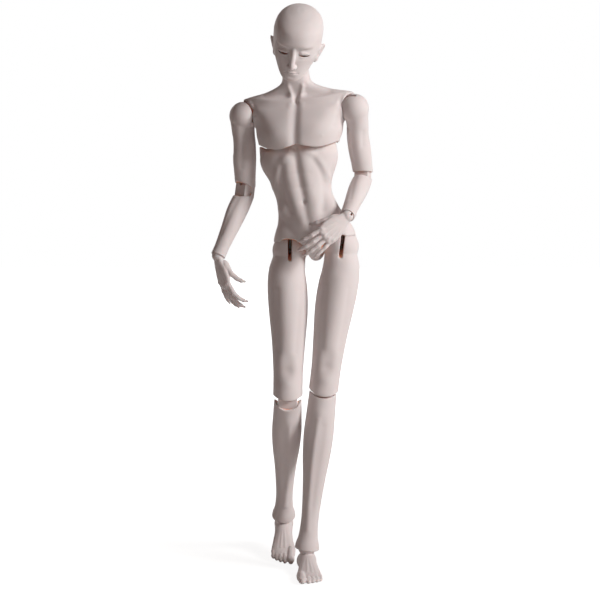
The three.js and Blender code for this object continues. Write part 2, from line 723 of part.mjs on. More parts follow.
function chest() {
  const outline = underEdgeShares.map(([x, z]) => [x * chestHalfWidth, z * chestDrop]);
  const below = -chestDrop - jointOverrun;
  outline.push([1.2 * chestHalfWidth, below], [-1.2 * chestHalfWidth, below]);
  const roomy = (domeRadius) => (domeRadius + domeGap) / Math.cos(Math.PI / torsoSides);
  const hollow = oval(roomy(domeHalfWidth), roomy(domeHalfDepth), roomy(domeHalfDepth), chestPivot, torsoSides);
  const sockets = sides.map(([, side]) => socket(shoulderBallRadius, vector(side * shoulderHalfSpan, 0, 0)));
  const neckWell = ball(neckKnotRadius + hookWireRadius * 4 + pinGap, neckBase, smallSides + 2);
  const neckMouth = rod(
    neckBase, neckBase.clone().add(vector(0, 0, neckBallRadius + pinGap)),
    neckKnotRadius + hookWireRadius * 4, ballSides, neckBallRadius * 0.95,
  );
  return cut(
    chestShell(), slabFromFront(outline, 2 * jointOverrun), hollow, ...sockets,
    channel(chestPivot, neckBase), channel(...armString(0)), neckWell, neckMouth,
  );
}

// The arms' elastic passes behind the one that holds the head, and stops short of each arm's ball.
function armString(stop) {
  const inner = (side) => vector(side * chestHalfWidth * 0.4, 2 * channelRadius + pinGap, 0);
  const outer = (side) => vector(side * shoulderHalfSpan, 0, 0);
  return [towards(outer(-1), inner(-1), stop), inner(-1), inner(1), towards(outer(1), inner(1), stop)];
}

addPiece('chest', chest(), resin, shoulderLine);
addPiece('neck_cord', elastic(
  towards(chestPivot, neckBase, domeHalfDepth + pinGap),
  towards(neckBase, chestPivot, neckKnotRadius + 2 * hookWireRadius + 3 * pinGap),
), cordWhite, shoulderLine);
addPiece('arm_cord', elastic(...armString(shoulderBallRadius + seatGap)), cordWhite, shoulderLine);

// Head
const neckGroup = jointGroup('neck_tilt', shoulderLine, neckBase, stance.chest);
addPiece('neck_knot', ball(neckKnotRadius, vector(0, 0, 0), smallSides + 2), cordWhite, neckGroup);
const nodGroup = jointGroup('neck_nod', neckGroup, vector(0, 0, 0), [stance.head[0], stance.head[1], 0]);
const barHeight = headFloorHeight + pinGap + headBarRadius;
const barLoop = headBarRadius + hookWireRadius + pinGap;
addPiece('neck_hook', hookPiece(barHeight, neckKnotRadius + hookWireRadius + pinGap, barLoop), steel, nodGroup);
const bareBar = pinPiece(headBarHalfLength, headBarRadius).translate([0, 0, barHeight]);
addPiece('head_bar', bareBar, steel, nodGroup);
const headGroup = jointGroup('head_turn', nodGroup, vector(0, 0, 0), stance.head);

const faceFront = (share) => -headHalfDepth * share;
const headZ = (share) => headHeight * share - chinDrop;

function headRows(inset) {
  return headShares.map(([z, wide, front, rear]) => {
    const [yFront, yBack] = [faceFront(front) + inset, headHalfDepth * rear - inset];
    return [
      headZ(z) - (z > 0.5 ? inset : 0), headHalfWidth * wide - inset,
      (yBack - yFront) / 2, (yBack - yFront) / 2, 0, (yBack + yFront) / 2,
    ];
  });
}

function headShell() {
  const skull = loft(headRows(0), 15, torsoSides, 2.15);
  const nose = bar(noseShares.map(([height, front, wide, thick]) => [
    vector(0, faceFront(front), headZ(height)), noseHalfWidth * wide, noseReach * thick,
  ]), detailSides);
  const soft = (halfX, halfY, halfZ, x, front, height) => oval(
    halfX, halfY, halfZ, vector(x, faceFront(front), headZ(height)), detailSides,
  );
  const lips = lipShares.map(([height, front]) => soft(
    mouthHalfWidth, mouthHalfWidth * 0.5, mouthHalfWidth * 0.26, 0, front, height,
  ));
  const chin = soft(chinHalfWidth, chinHalfWidth * 0.8, chinHalfWidth * 0.7, 0, ...chinShare);
  const brows = sides.map(([, side]) => soft(
    eyeHalfSpan * 0.75, headWall, headWall * 0.6, side * eyeHalfSpan, ...browShare,
  ));
  const ears = sides.map(([, side]) => bar(earShares.map(([height, x, y, thin, long]) => [
    vector(side * headHalfWidth * x, headHalfDepth * y, headZ(height)), earThickness * thin, earThickness * long,
  ]), detailSides));
  return join(skull, nose, ...lips, chin, ...brows, ...ears);
}

function headHollow() {
  const floor = headFloorHeight;
  const inner = loft(headRows(headWall), 7, limbSides, 2.1);
  const tall = 2 * headHeight;
  return inner.intersect(block(tall, tall, tall, vector(0, 0, floor + tall / 2)));
}

function eyeOpening(side) {
  const at = (depth, height) => vector(side * eyeHalfSpan, faceFront(depth), headZ(eyeHeightShare) + height);
  const slit = bar([
    [at(1.3, -eyeSlitHeight), eyeSlitWidth / 2, eyeSlitHeight / 2],
    [at(0.6, eyeSlitHeight), eyeSlitWidth / 2, eyeSlitHeight / 2],
  ], detailSides, up);
  const hollow = oval(eyeSlitWidth * 0.62, headWall * 0.7, eyeSlitWidth * 0.42, at(1.06, eyeSlitHeight), detailSides);
  return join(slit, hollow);
}

// Behind the ears the skull ends in a sloping rim, and the cap sits on it.
function capCutter(gap) {
  const lean = Math.tan(radians(capSeamLean));
  const rim = headHalfDepth * capSeamShare + gap;
  const [low, high] = [-headHeight, 2 * headHeight];
  const far = 3 * headHalfDepth;
  return slabFromSide([[rim + low * lean, low], [far, low], [far, high], [rim + high * lean, high]], far);
}

const magnetPlaces = sides.map(([, side]) => vector(
  side * headHalfWidth * magnetSpanShare,
  headHalfDepth * capSeamShare + headZ(earHeightShare) * Math.tan(radians(capSeamLean)),
  headZ(earHeightShare),
));
const rimNormal = vector(0, Math.cos(radians(capSeamLean)), -Math.sin(radians(capSeamLean)));
const magnet = (place, from, to, radius) => rod(
  place.clone().addScaledVector(rimNormal, from), place.clone().addScaledVector(rimNormal, to), radius,
);

function wholeHead() {
  const neckHole = rod(
    vector(0, 0, 0), vector(0, 0, headFloorHeight + overrun), barLoop + hookWireRadius + pinGap, ballSides,
  );
  return cut(
    headShell(), headHollow(), socket(neckBallRadius, vector(0, 0, 0), ballSides), neckHole,
    ...sides.map(([, side]) => eyeOpening(side)),
  );
}

const fullHead = wholeHead();
const magnetWell = magnetThickness + 2 * pinGap;
addPiece('head', cut(
  fullHead, capCutter(0), ...magnetPlaces.map((place) => magnet(place, -magnetWell, overrun, magnetRadius + pinGap)),
), resin, headGroup);
const capGroup = jointGroup('cap_lift', headGroup, vector(0, 0, 0), stance.head);
addPiece('head_cap', cut(
  fullHead.intersect(capCutter(pinGap)),
  ...magnetPlaces.map((place) => magnet(place, -overrun, magnetWell + pinGap, magnetRadius + pinGap)),
), resin, capGroup);
sides.forEach(([name], i) => {
  const place = magnetPlaces[i];
  addPiece(`${name}_head_magnet`, magnet(place, -magnetThickness - pinGap, -pinGap, magnetRadius), nickel, headGroup);
  addPiece(
    `${name}_cap_magnet`, magnet(place, 2 * pinGap, 2 * pinGap + magnetThickness, magnetRadius), nickel, capGroup,
  );
});

// Limbs

// The hook of a hand or foot turns about the limb above, and the hand or foot bends about its own pin.
function hookTurn(limbGroup, endTurn) {
  const pinAxis = right.clone().applyQuaternion(endTurn);
  const limbAxis = up.clone().applyQuaternion(facing.get(limbGroup));
  const shankAxis = limbAxis.addScaledVector(pinAxis, -limbAxis.dot(pinAxis)).normalize();
  const basis = new THREE.Matrix4().makeBasis(pinAxis, shankAxis.clone().cross(pinAxis), shankAxis);
  return new THREE.Quaternion().setFromRotationMatrix(basis);
}

// The elastic inside a forearm or shin, and the room for it and for the hook at the far end.
function lowerLimbInside(end, hookShank) {
  const start = vector(0, 0, 0);
  const hookTop = towards(end, start, hookShank + hookLoopRadius + hookWireRadius + pinGap);
  return {
    cord: elastic(towards(start, end, knotGap), hookTop),
    room: join(
      channel(towards(start, end, -overrun), end),
      rod(end, towards(end, hookTop, hookTop.distanceTo(end) + pinGap), hookLoopRadius + hookWireRadius + hookPlay, detailSides),
    ),
  };
}

function upperArm(side) {
  const rows = mirrored(side, scaleRows(upperArmShares, upperArmLength, upperArmHalfWidth, upperArmHalfDepth));
  const slot = join(
    slabFromFront(fanOutline(shoulderBallRadius + overrun, ...shoulderSlot, -side), slotWidth),
    ball(knotRoom, vector(0, 0, 0), smallSides),
  );
  const cordSlot = slabFromSide(
    fanOutline(elbowRadius + 2 * overrun, 0, elbowCordSlot, -1), slotWidth, -upperArmLength,
  );
  return cut(
    join(loft(rows, 8, limbSides), ball(shoulderBallRadius)),
    slot, cordSlot, channel(vector(0, 0, 0), vector(0, 0, -upperArmLength)),
    hingeEnd(-upperArmLength, elbowRadius, elbowHalfWidth, -1, 1, elbowRimDrop, upperArmHalfWidth),
  );
}

function forearm(side, room) {
  const rows = scaleRows(forearmShares, forearmLength, forearmHalfWidth, forearmHalfDepth);
  return cut(
    loft(rows, 8, limbSides), room, socket(wristBallRadius, vector(0, 0, -forearmLength), ballSides),
    hingeEnd(0, elbowRadius, elbowHalfWidth, -1, -1, elbowRimDrop, forearmHalfWidth, elbowLink - elbowSeam),
  );
}

function hand(side) {
  const stem = wristBallRadius;
  const palm = bar([
    [vector(0, 0, 0), stem * 0.6, stem * 0.55],
    [vector(0, 0, -stem * 1.2), stem * 0.8, stem * 0.6],
    ...palmShares.map(([down, wide, thick]) => [
      vector(0, 0, -palmLength * down), palmHalfWidth * wide, palmHalfThickness * thick,
    ]),
  ], detailSides);
  const fingers = fingerShares.map(([across, knuckle, long, thick, curl, spread]) => {
    const base = vector(side * palmHalfWidth * across, 0, -palmLength * knuckle - stem * 0.5);
    return digit(base, fingerLength * long, fingerRadius * thick, curl, side * spread);
  });
  const thumb = digit(
    vector(side * palmHalfWidth * 0.62, -palmHalfThickness * 0.3, -palmLength * 0.3),
    thumbLength, fingerRadius * thumbThickShare, thumbCurl, side * thumbSpread,
  );
  return cut(join(ball(wristBallRadius), palm, ...fingers, thumb), hookSeat(wristBallRadius, wristSwing));
}

// A finger in three bones, each bent further towards the palm, with a rounded tip.
function digit(base, length, radius, curl, spread) {
  const stops = [[base.clone(), radius, radius]];
  const at = base.clone();
  let bend = curl;
  boneShares.forEach(([share, slim], i) => {
    const aim = vector(0, 0, -1).applyAxisAngle(right, radians(-bend)).applyAxisAngle(back, radians(-spread));
    at.addScaledVector(aim, length * share);
    stops.push([at.clone(), radius * slim, radius * slim * 0.95]);
    bend += i < 2 ? curl : 0;
  });
  return bar(stops, smallSides);
}

function thigh(side) {
  const rows = mirrored(side, scaleRows(thighShares, thighLength, thighHalfWidth, thighHalfDepth));
  const slot = join(
    slabFromSide(fanOutline(hipBallRadius + 2 * overrun, ...hipSlot, -1), slotWidth),
    ball(knotRoom, vector(0, 0, 0), smallSides),
  );
  return cut(
    join(loft(rows, 9, limbSides, 2.1), ball(hipBallRadius)),
    slot, channel(vector(0, 0, 0), vector(0, 0, -thighLength)),
    hingeEnd(-thighLength, kneeRadius, kneeHalfWidth, 1, 1, kneecapDrop, thighHalfWidth * 0.75, kneecapRise),
  );
}

function shin(side, room) {
  const rows = scaleRows(shinShares, shinLength, shinHalfWidth, shinHalfDepth)
    .map(([z, ...rest]) => [z, ...rest.slice(0, 3), side * ankleOutset * (-z / shinLength), rest[4]]);
  return cut(
    loft(rows, 9, limbSides), room,
    socket(ankleBallRadius, vector(side * ankleOutset, 0, -shinLength), ballSides),
    hingeEnd(
      0, kneeRadius, kneeHalfWidth, 1, -1, kneecapDrop, thighHalfWidth * 0.75, kneeLink + kneecapRise - kneeSeam,
    ),
  );
}

function foot(side) {
  const sole = -ankleHeight;
  // Columns: place along the foot, height of the top, half width
  const stops = footShares.map(([along, top, wide]) => {
    const reach = along > 0 ? heelReach : instepReach;
    const rise = sole * (1 - top);
    const thick = (rise - sole) / 2 + overrun / 2;
    return [vector(0, along * reach, sole - overrun + thick), footHalfWidth * wide, thick];
  });
  const body = bar(stops, ballSides, up);
  const toes = toeShares.map(([across, long, thick]) => {
    const base = vector(side * footHalfWidth * across, -instepReach * 0.9, sole + toeRadius * thick * 0.9);
    return bar(toeBoneShares.map(([reach, rise, wide, high]) => [
      base.clone().add(vector(0, -toeLength * long * reach, toeRadius * rise)),
      toeRadius * thick * wide, toeRadius * thick * high,
    ]), smallSides, up);
  });
  const ground = block(4 * instepReach, 4 * instepReach, ankleHeight, vector(0, 0, sole - ankleHeight / 2));
  const stem = rod(vector(0, 0, 0), vector(0, 0, sole * 0.5), ankleBallRadius * 0.72, detailSides);
  return cut(join(body, stem, ball(ankleBallRadius), ...toes), ground, hookSeat(ankleBallRadius, ankleSwing));
}

for (const [name, side] of sides) {
  // Arm
  const shoulder = jointGroup(
    `${name}_shoulder`, shoulderLine, vector(side * shoulderHalfSpan, 0, 0), stance.upperArm[name],
  );
  addPiece(`${name}_shoulder_elastic`, elastic(
    vector(-side * knotGap, 0, 0), vector(-side * (shoulderBallRadius - pinGap), 0, 0),
  ), cordWhite, shoulder);
  addPiece(`${name}_upper_arm`, upperArm(side), resin, shoulder);
  addPiece(
    `${name}_upper_arm_elastic`, elasticWithKnot(vector(0, 0, 0), vector(0, 0, knotGap - upperArmLength)),
    cordWhite, shoulder,
  );
  const [upperBend, lowerBend] = stance.elbowBend[name];
  const elbow = hingeGroup(`${name}_elbow_upper`, shoulder, vector(0, 0, -upperArmLength), -upperBend);
  addPiece(`${name}_elbow`, linkPiece(elbowRadius, elbowHalfWidth, elbowLink, -1), resin, elbow);
  const linkCord = (link) => join(elasticWithKnot(vector(0, 0, 0), vector(0, 0, -link)), ball(
    elasticRadius, vector(0, 0, -link), smallSides,
  ));
  addPiece(`${name}_elbow_elastic`, linkCord(elbowLink), cordWhite, elbow);
  const forearmGroup = hingeGroup(`${name}_elbow_lower`, elbow, vector(0, 0, -elbowLink), -lowerBend);
  const wrist = vector(0, 0, -forearmLength);
  const forearmInside = lowerLimbInside(wrist, wristHookShank);
  addPiece(`${name}_forearm`, forearm(side, forearmInside.room), resin, forearmGroup);
  addPiece(`${name}_forearm_elastic`, forearmInside.cord, cordWhite, forearmGroup);
  const [turn, bend] = stance.wrist[name];
  const handTurn = facing.get(forearmGroup).clone()
    .multiply(new THREE.Quaternion().setFromAxisAngle(up, radians(turn)))
    .multiply(new THREE.Quaternion().setFromAxisAngle(right, radians(bend)));
  const wristHook = jointGroup(`${name}_wrist_turn`, forearmGroup, wrist, hookTurn(forearmGroup, handTurn));
  addPiece(`${name}_wrist_hook`, hookPiece(wristHookShank, hookLoopRadius, hookLoopRadius), steel, wristHook);
  const handGroup = jointGroup(`${name}_wrist`, forearmGroup, wrist, handTurn);
  addPiece(`${name}_hand`, hand(side), resin, handGroup);
  addPiece(`${name}_hand_pin`, pinPiece(wristBallRadius - pinGap * 2, pinRadius), steel, handGroup);

  // Leg
  const hip = jointGroup(`${name}_hip`, pelvisGroup, hipCentre(side), stance.thigh[name]);
  addPiece(`${name}_hip_elastic`, elastic(
    vector(0, 0, knotGap), vector(0, 0, hipBallRadius - pinGap),
  ), cordWhite, hip);
  addPiece(`${name}_thigh`, thigh(side), resin, hip);
  addPiece(
    `${name}_thigh_elastic`, elasticWithKnot(vector(0, 0, 0), vector(0, 0, knotGap - thighLength)), cordWhite, hip,
  );
  const [thighBend, shinBend] = stance.kneeBend[name];
  const knee = hingeGroup(`${name}_knee_upper`, hip, vector(0, 0, -thighLength), thighBend);
  addPiece(`${name}_knee`, linkPiece(kneeRadius, kneeHalfWidth, kneeLink, 1), resin, knee);
  addPiece(`${name}_knee_elastic`, linkCord(kneeLink), cordWhite, knee);
  const shinGroup = hingeGroup(`${name}_knee_lower`, knee, vector(0, 0, -kneeLink), shinBend);
  const ankle = vector(side * ankleOutset, 0, -shinLength);
  const shinInside = lowerLimbInside(ankle, ankleHookShank);
  addPiece(`${name}_shin`, shin(side, shinInside.room), resin, shinGroup);
  addPiece(`${name}_shin_elastic`, shinInside.cord, cordWhite, shinGroup);
  const footTurn = new THREE.Quaternion().setFromEuler(new THREE.Euler(...stance.foot[name].map(radians), 'XYZ'));
  const ankleHook = jointGroup(`${name}_ankle_turn`, shinGroup, ankle, hookTurn(shinGroup, footTurn));
  addPiece(`${name}_ankle_hook`, hookPiece(ankleHookShank, hookLoopRadius, hookLoopRadius), steel, ankleHook);
  const footGroup = jointGroup(`${name}_ankle`, shinGroup, ankle, footTurn);
  addPiece(`${name}_foot`, foot(side), resin, footGroup);
  addPiece(`${name}_foot_pin`, pinPiece(ankleBallRadius - pinGap * 2, pinRadius), steel, footGroup);
}

// The origin is on the floor, under the middle of the doll.
doll.updateMatrixWorld(true);
const box = new THREE.Box3().setFromObject(doll, true);
const middle = box.getCenter(vector(0, 0, 0));
doll.position.set(-middle.x, -middle.y, -box.min.z);

export default doll;
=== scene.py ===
# %% [markdown]
# A strung, ball jointed doll of pale resin, walking. The real one is cast in pieces and strung with
# elastic. Its soft muscles could be sculpted by hand, or built as subdivision cages with many loops. Here
# each piece is made as its maker would: plain forms run together like clay, muscles pressed in, seats cut
# out and all edges sanded. That way every shape stays a short list of sizes, in millimetres round the
# piece's own joint, and can be changed.
#
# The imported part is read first. It gives the joints that every piece is placed by.

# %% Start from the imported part
import json
import math

import bpy
import numpy as np
from mathutils import Matrix, Vector
from mathutils.bvhtree import BVHTree


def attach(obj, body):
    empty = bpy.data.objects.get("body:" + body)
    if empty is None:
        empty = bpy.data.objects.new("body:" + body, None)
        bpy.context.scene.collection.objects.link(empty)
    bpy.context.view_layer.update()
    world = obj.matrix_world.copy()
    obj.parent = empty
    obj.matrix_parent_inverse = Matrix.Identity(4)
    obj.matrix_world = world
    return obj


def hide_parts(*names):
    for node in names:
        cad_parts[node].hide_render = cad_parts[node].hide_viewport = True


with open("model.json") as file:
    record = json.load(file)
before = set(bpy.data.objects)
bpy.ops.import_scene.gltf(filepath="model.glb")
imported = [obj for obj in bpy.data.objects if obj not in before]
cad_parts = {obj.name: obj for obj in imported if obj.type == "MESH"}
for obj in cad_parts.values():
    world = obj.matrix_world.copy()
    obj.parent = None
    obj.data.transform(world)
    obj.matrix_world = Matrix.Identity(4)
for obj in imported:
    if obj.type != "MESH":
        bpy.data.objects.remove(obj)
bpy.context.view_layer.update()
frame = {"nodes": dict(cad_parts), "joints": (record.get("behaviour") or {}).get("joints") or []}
joints = {joint["name"]: joint for joint in frame["joints"]}

# %% [markdown]
# The camera is made first. It stands before the doll, a little above its hips, and looks slightly down at
# its thighs. It is turned by aiming at a point, which is easier to set than three angles.

# %% Camera
def joint_place(name):
    return np.array(joints[name]["pos_m"]) * 1000


def joint_axis(name):
    return np.array(joints[name]["axis"])


camera_distance, camera_height, aim_height, view_angle = 1800, 450, 336.6, 23.1
hips_aside, hips_height = 19, 400
hip_middle = (joint_place("left_hip_swing") + joint_place("right_hip_swing")) / 2
stand = hip_middle - np.array((hips_aside, 0, hips_height))
camera = bpy.data.objects.new("camera", bpy.data.cameras.new("camera"))
bpy.context.scene.collection.objects.link(camera)
camera.data.angle = math.radians(view_angle)
camera.location = (stand + np.array((0, -camera_distance, camera_height))) / 1000
aim = Vector((stand + np.array((0, 0, aim_height))) / 1000)
camera.rotation_euler = (aim - camera.location).to_track_quat("-Z", "Y").to_euler()
bpy.context.scene.camera = camera
print("camera at", tuple(round(x, 3) for x in camera.location))

# %% [markdown]
# Before it is an object, a form is only points and faces. Most come from rings of points joined to a skin,
# because a few rows of widths and depths say all that there is to say about a limb. Rows between the given
# ones lie on a smooth curve, as clay would.

# %% Rows and skins
def smooth_rows(rows, count):
    """Fills in rows between the given ones along a smooth curve through each column."""
    rows = np.array(rows, float)
    place = rows[:, 0]
    index = np.arange(len(rows))
    before, after = np.maximum(index - 1, 0), np.minimum(index + 1, len(rows) - 1)
    slope = (rows[after] - rows[before]) / (place[after] - place[before])[:, None]
    at = np.linspace(place[0], place[-1], count)
    i = np.clip(np.searchsorted(place, at, side="right") - 1, 0, len(rows) - 2)
    span = (place[i + 1] - place[i])[:, None]
    t = (at[:, None] - place[i][:, None]) / span
    return ((2 * t**3 - 3 * t**2 + 1) * rows[i] + (t**3 - 2 * t**2 + t) * span * slope[i]
            + (3 * t**2 - 2 * t**3) * rows[i + 1] + (t**3 - t**2) * span * slope[i + 1])


def skin(rings):
    """Closes a stack of rings into one skin with an end at each side."""
    count, sides = rings.shape[:2]
    points = np.vstack([rings.reshape(-1, 3), rings[0].mean(0), rings[-1].mean(0)])
    here = np.arange(sides)
    following = (here + 1) % sides
    faces = []
    for i in range(count - 1):
        a, b = i * sides + here, i * sides + following
        faces += np.stack([a, b, b + sides, a + sides], 1).tolist()
    start, end, last = count * sides, count * sides + 1, (count - 1) * sides
    faces += [[start, j, i] for i, j in zip(here, following)]
    faces += [[end, last + i, last + j] for i, j in zip(here, following)]
    return points, faces


print("3 rows fill in to", len(smooth_rows([(0, 1), (1, 2), (2, 1)], 9)))

# %% [markdown]
# A limb is a loft: rows of height, width, front and back. Fingers, collar bones and ears are tubes instead,
# which follow their own line. A sweep along a curve object would do the same, but tubes made here need no
# extra object and can be flatter one way than the other.

# %% Lofts and tubes
def loft(rows, squareness=2.0):
    """Rows of height, half width, front, back, shift across and shift back, lowest first."""
    rings, sides = 120, 96
    z, wide, front, rear, shift_x, shift_y = smooth_rows(rows, rings).T[:, :, None]
    angle = np.linspace(0, 2 * math.pi, sides, endpoint=False)
    circle = np.array([np.cos(angle), np.sin(angle)])
    c, s = (np.sign(circle) * np.abs(circle) ** (2 / squareness))[:, None]
    depth = np.where(s > 0, rear, front)
    return skin(np.stack([shift_x + wide * c, shift_y + depth * s, z + 0 * c], 2))


def tube(stops, sides=28, rings=36, flat_to=(0, 1, 0)):
    """A rounded bar through stops of x, y, z, half width and half thickness."""
    stops = np.array(stops, float)
    run = np.concatenate([[0], np.cumsum(np.linalg.norm(np.diff(stops[:, :3], axis=0), axis=1))])
    rows = smooth_rows(np.column_stack([run, stops]), rings)[:, 1:]
    ahead = np.gradient(rows[:, :3], axis=0)
    ahead /= np.linalg.norm(ahead, axis=1)[:, None]
    turn = np.radians([78, 58, 38, 18])
    for end, way, angles in ((0, -1, turn), (-1, 1, turn[::-1])):
        reach = min(rows[end, 3], rows[end, 4])
        extra = np.repeat(rows[end][None], 4, 0)
        extra[:, :3] += way * ahead[end] * reach * np.sin(angles)[:, None]
        extra[:, 3:] *= np.cos(angles)[:, None]
        along = np.repeat(ahead[end][None], 4, 0)
        rows = np.vstack([extra, rows] if end == 0 else [rows, extra])
        ahead = np.vstack([along, ahead] if end == 0 else [ahead, along])
    across = np.cross(np.array(flat_to, float), ahead)
    across /= np.linalg.norm(across, axis=1)[:, None]
    rise = np.cross(ahead, across)
    angle = np.linspace(0, 2 * math.pi, sides, endpoint=False)[None, :, None]
    return skin(rows[:, None, :3] + across[:, None] * rows[:, None, 3:4] * np.cos(angle)
                + rise[:, None] * rows[:, None, 4:5] * np.sin(angle))


print("a short tube has", len(tube([(0, 0, 0, 1, 1), (0, 0, 9, 1, 1)])[1]), "faces")

# %% [markdown]
# Balls, rods and slabs do the rest. Balls are the joints themselves, rods bore the channels, and slabs,
# flat outlines with a thickness, saw the slots and rims.

# %% Balls, rods and slabs
def oval(centre, radii, sides=64, turn=(0, 0, 0)):
    """An egg form with three half sizes, turned in degrees about X, Y and Z."""
    lift = np.linspace(-1.5, 1.5, sides // 2)[:, None]
    angle = np.linspace(0, 2 * math.pi, sides, endpoint=False)[None]
    points, faces = skin(np.stack([np.cos(lift) * np.cos(angle), np.cos(lift) * np.sin(angle),
                                   np.sin(lift) + 0 * angle], 2) * np.array(radii, float))
    about_x, about_y, about_z = [Matrix.Rotation(math.radians(a), 3, axis) for a, axis in zip(turn, "XYZ")]
    spin = np.array(about_z @ about_y @ about_x)
    return points @ spin.T + np.array(centre, float), faces


def ball(radius, centre=(0, 0, 0)):
    return oval(centre, (radius,) * 3)


def rod(start, end, radius, far_radius=None, sides=48):
    """A round bar, or a cone where its far end has another radius."""
    start, end = np.array(start, float), np.array(end, float)
    ahead = (end - start) / np.linalg.norm(end - start)
    across = np.cross(ahead, (0.3, 1, 0.2))
    across /= np.linalg.norm(across)
    rise = np.cross(ahead, across)
    angle = np.linspace(0, 2 * math.pi, sides, endpoint=False)[:, None]
    ring = across * np.cos(angle) + rise * np.sin(angle)
    return skin(np.stack([start + ring * radius, end + ring * (far_radius or radius)]))


def slab(outline, thickness, along, middle=0.0):
    """A flat outline pushed through along X (outline in Y and Z) or along Y (outline in X and Z)."""
    flat = np.array(outline, float)
    low = np.insert(flat, along, middle - thickness / 2, axis=1)
    high = np.insert(flat, along, middle + thickness / 2, axis=1)
    n, here = len(flat), list(range(len(flat)))
    faces = [[i, (i + 1) % n, n + (i + 1) % n, n + i] for i in here]
    return np.vstack([low, high]), faces + [here[::-1], [n + i for i in here]]


def fan(radius, start, end, direction, height=0.0):
    """The outline in which elastic or a hook swings, in degrees from straight up."""
    angle = np.radians(np.linspace(start, end, 24))
    arc = np.column_stack([direction * radius * np.sin(angle), height + radius * np.cos(angle)])
    return np.vstack([[0, height], arc])


print("a test ball has", len(ball(10)[1]), "faces")

# %% [markdown]
# The forms of a piece overlap. A voxel remesh runs them into one even skin, which a join with booleans
# wouldn't round, and a few turns of smoothing blend the creases. The grain is the size of the voxels, times
# one factor for all pieces.

# %% Clay
fine = 1.0


def volume_of(points, faces):
    total = 0.0
    for face in faces:
        corners = points[face]
        total += np.sum(corners[0] @ np.cross(corners[1:-1], corners[2:]).T)
    return total / 6


def put(name, part):
    """A closed form as an object, with its faces outwards."""
    points, faces = part
    if volume_of(points, faces) < 0:
        faces = [face[::-1] for face in faces]
    mesh = bpy.data.meshes.new(name)
    mesh.from_pydata(points.tolist(), [], faces)
    thing = bpy.data.objects.new(name, mesh)
    bpy.context.scene.collection.objects.link(thing)
    return thing


def together(parts):
    """Several forms as one, all with their faces outwards."""
    points, faces, offset = [], [], 0
    for part_points, part_faces in parts:
        turn = -1 if volume_of(part_points, part_faces) < 0 else 1
        points.append(part_points)
        faces += [[offset + i for i in face[::turn]] for face in part_faces]
        offset += len(part_points)
    return np.vstack(points), faces


def settle(thing):
    """Makes the modifiers' result the object's own mesh."""
    graph = bpy.context.evaluated_depsgraph_get()
    mesh = bpy.data.meshes.new_from_object(thing.evaluated_get(graph))
    thing.modifiers.clear()
    thing.data = mesh


def flow(thing, grain, smoothing):
    """Runs what overlaps into one skin of that grain, and smooths it."""
    remesh = thing.modifiers.new("flow", "REMESH")
    remesh.mode = "VOXEL"
    remesh.voxel_size = grain * fine
    soft = thing.modifiers.new("soft", "SMOOTH")
    soft.factor = 0.5
    soft.iterations = max(1, round(smoothing / fine))
    settle(thing)


def points_of(thing):
    points = np.zeros(len(thing.data.vertices) * 3, np.float32)
    thing.data.vertices.foreach_get("co", points)
    return points.reshape(-1, 3).astype(float)


def normals_of(thing):
    normals = np.zeros(len(thing.data.vertices) * 3, np.float32)
    thing.data.vertices.foreach_get("normal", normals)
    return normals.reshape(-1, 3).astype(float)


print("casting grain factor", fine)

# %% [markdown]
# Muscles, bones and creases are marks: soft hills and hollows with a place, a reach and a height. Each
# point of the skin moves along its normal. That keeps a mark as easy to move as a thumb print, which
# sculpted points aren't, and most marks are made once and mirrored to the other side.

# %% Marks
def distance_to_line(points, stops):
    best = np.full(len(points), 1e9)
    for start, end in zip(stops[:-1], stops[1:]):
        along = end - start
        share = np.clip(((points - start) @ along) / (along @ along), 0, 1)
        best = np.minimum(best, np.linalg.norm(points - start - share[:, None] * along, axis=1))
    return best


FRONT, BACK, ROUND = -1, 1, 0


def spot(x, z, reach_x, reach_z, height, face=FRONT):
    return ("spot", (x, z), (reach_x, reach_z), height, face)


def line(stops, width, height, face=FRONT):
    return ("line", stops, width, height, face)


def lump(centre, reach, height):
    return ("lump", centre, reach, height, ROUND)


def ring(centre, radius, width, height):
    return ("ring", centre, (radius, width), height, ROUND)


def both_sides(marks):
    """Each mark again on the other side of the middle."""
    mirror = []
    for kind, place, size, height, face in marks:
        flipped = np.array(place, float)
        flipped[..., 0] *= -1
        mirror.append((kind, flipped, size, height, face))
    return list(marks) + mirror


def press(thing, marks):
    """Raises or presses the skin: spots and lines from the front or back, lumps and rings in space."""
    side_fade = 1.8
    points, normals = points_of(thing), normals_of(thing)
    push = np.zeros(len(points))
    flat = points[:, [0, 2]]
    for kind, place, size, height, face in marks:
        place = np.array(place, float)
        seen = np.clip(normals[:, 1] * face * side_fade, 0, 1) if face else 1.0
        if kind == "spot":
            push += seen * height * np.exp(-(((flat - place) / np.array(size)) ** 2).sum(1))
        elif kind == "lump":
            push += height * np.exp(-(((points - place) / np.array(size)) ** 2).sum(1))
        elif kind == "ring":
            push += height * np.exp(-((np.linalg.norm(points - place, axis=1) - size[0]) / size[1]) ** 2)
        else:
            stops = smooth_rows(np.column_stack([np.arange(len(place)), place]), 4 * len(place))[:, 1:]
            seat = flat if place.shape[1] == 2 else points
            push += seen * height * np.exp(-(distance_to_line(seat, stops) / size) ** 2)
    points += normals * push[:, None]
    thing.data.vertices.foreach_set("co", points.astype(np.float32).ravel())
    thing.data.update()


print("marks face the front", FRONT, "the back", BACK, "or all round", ROUND)

# %% [markdown]
# Seats, slots and channels are cut with booleans, because they have to fit the joints exactly. A second
# remesh, with a slightly finer grain, leaves every edge a little rounded, as on a sanded cast. Faces that
# lie deeper than the lip under the outer skin are the inside, with a material of painted orange glow.

# %% Casting
EDGE_GRAIN = 0.85


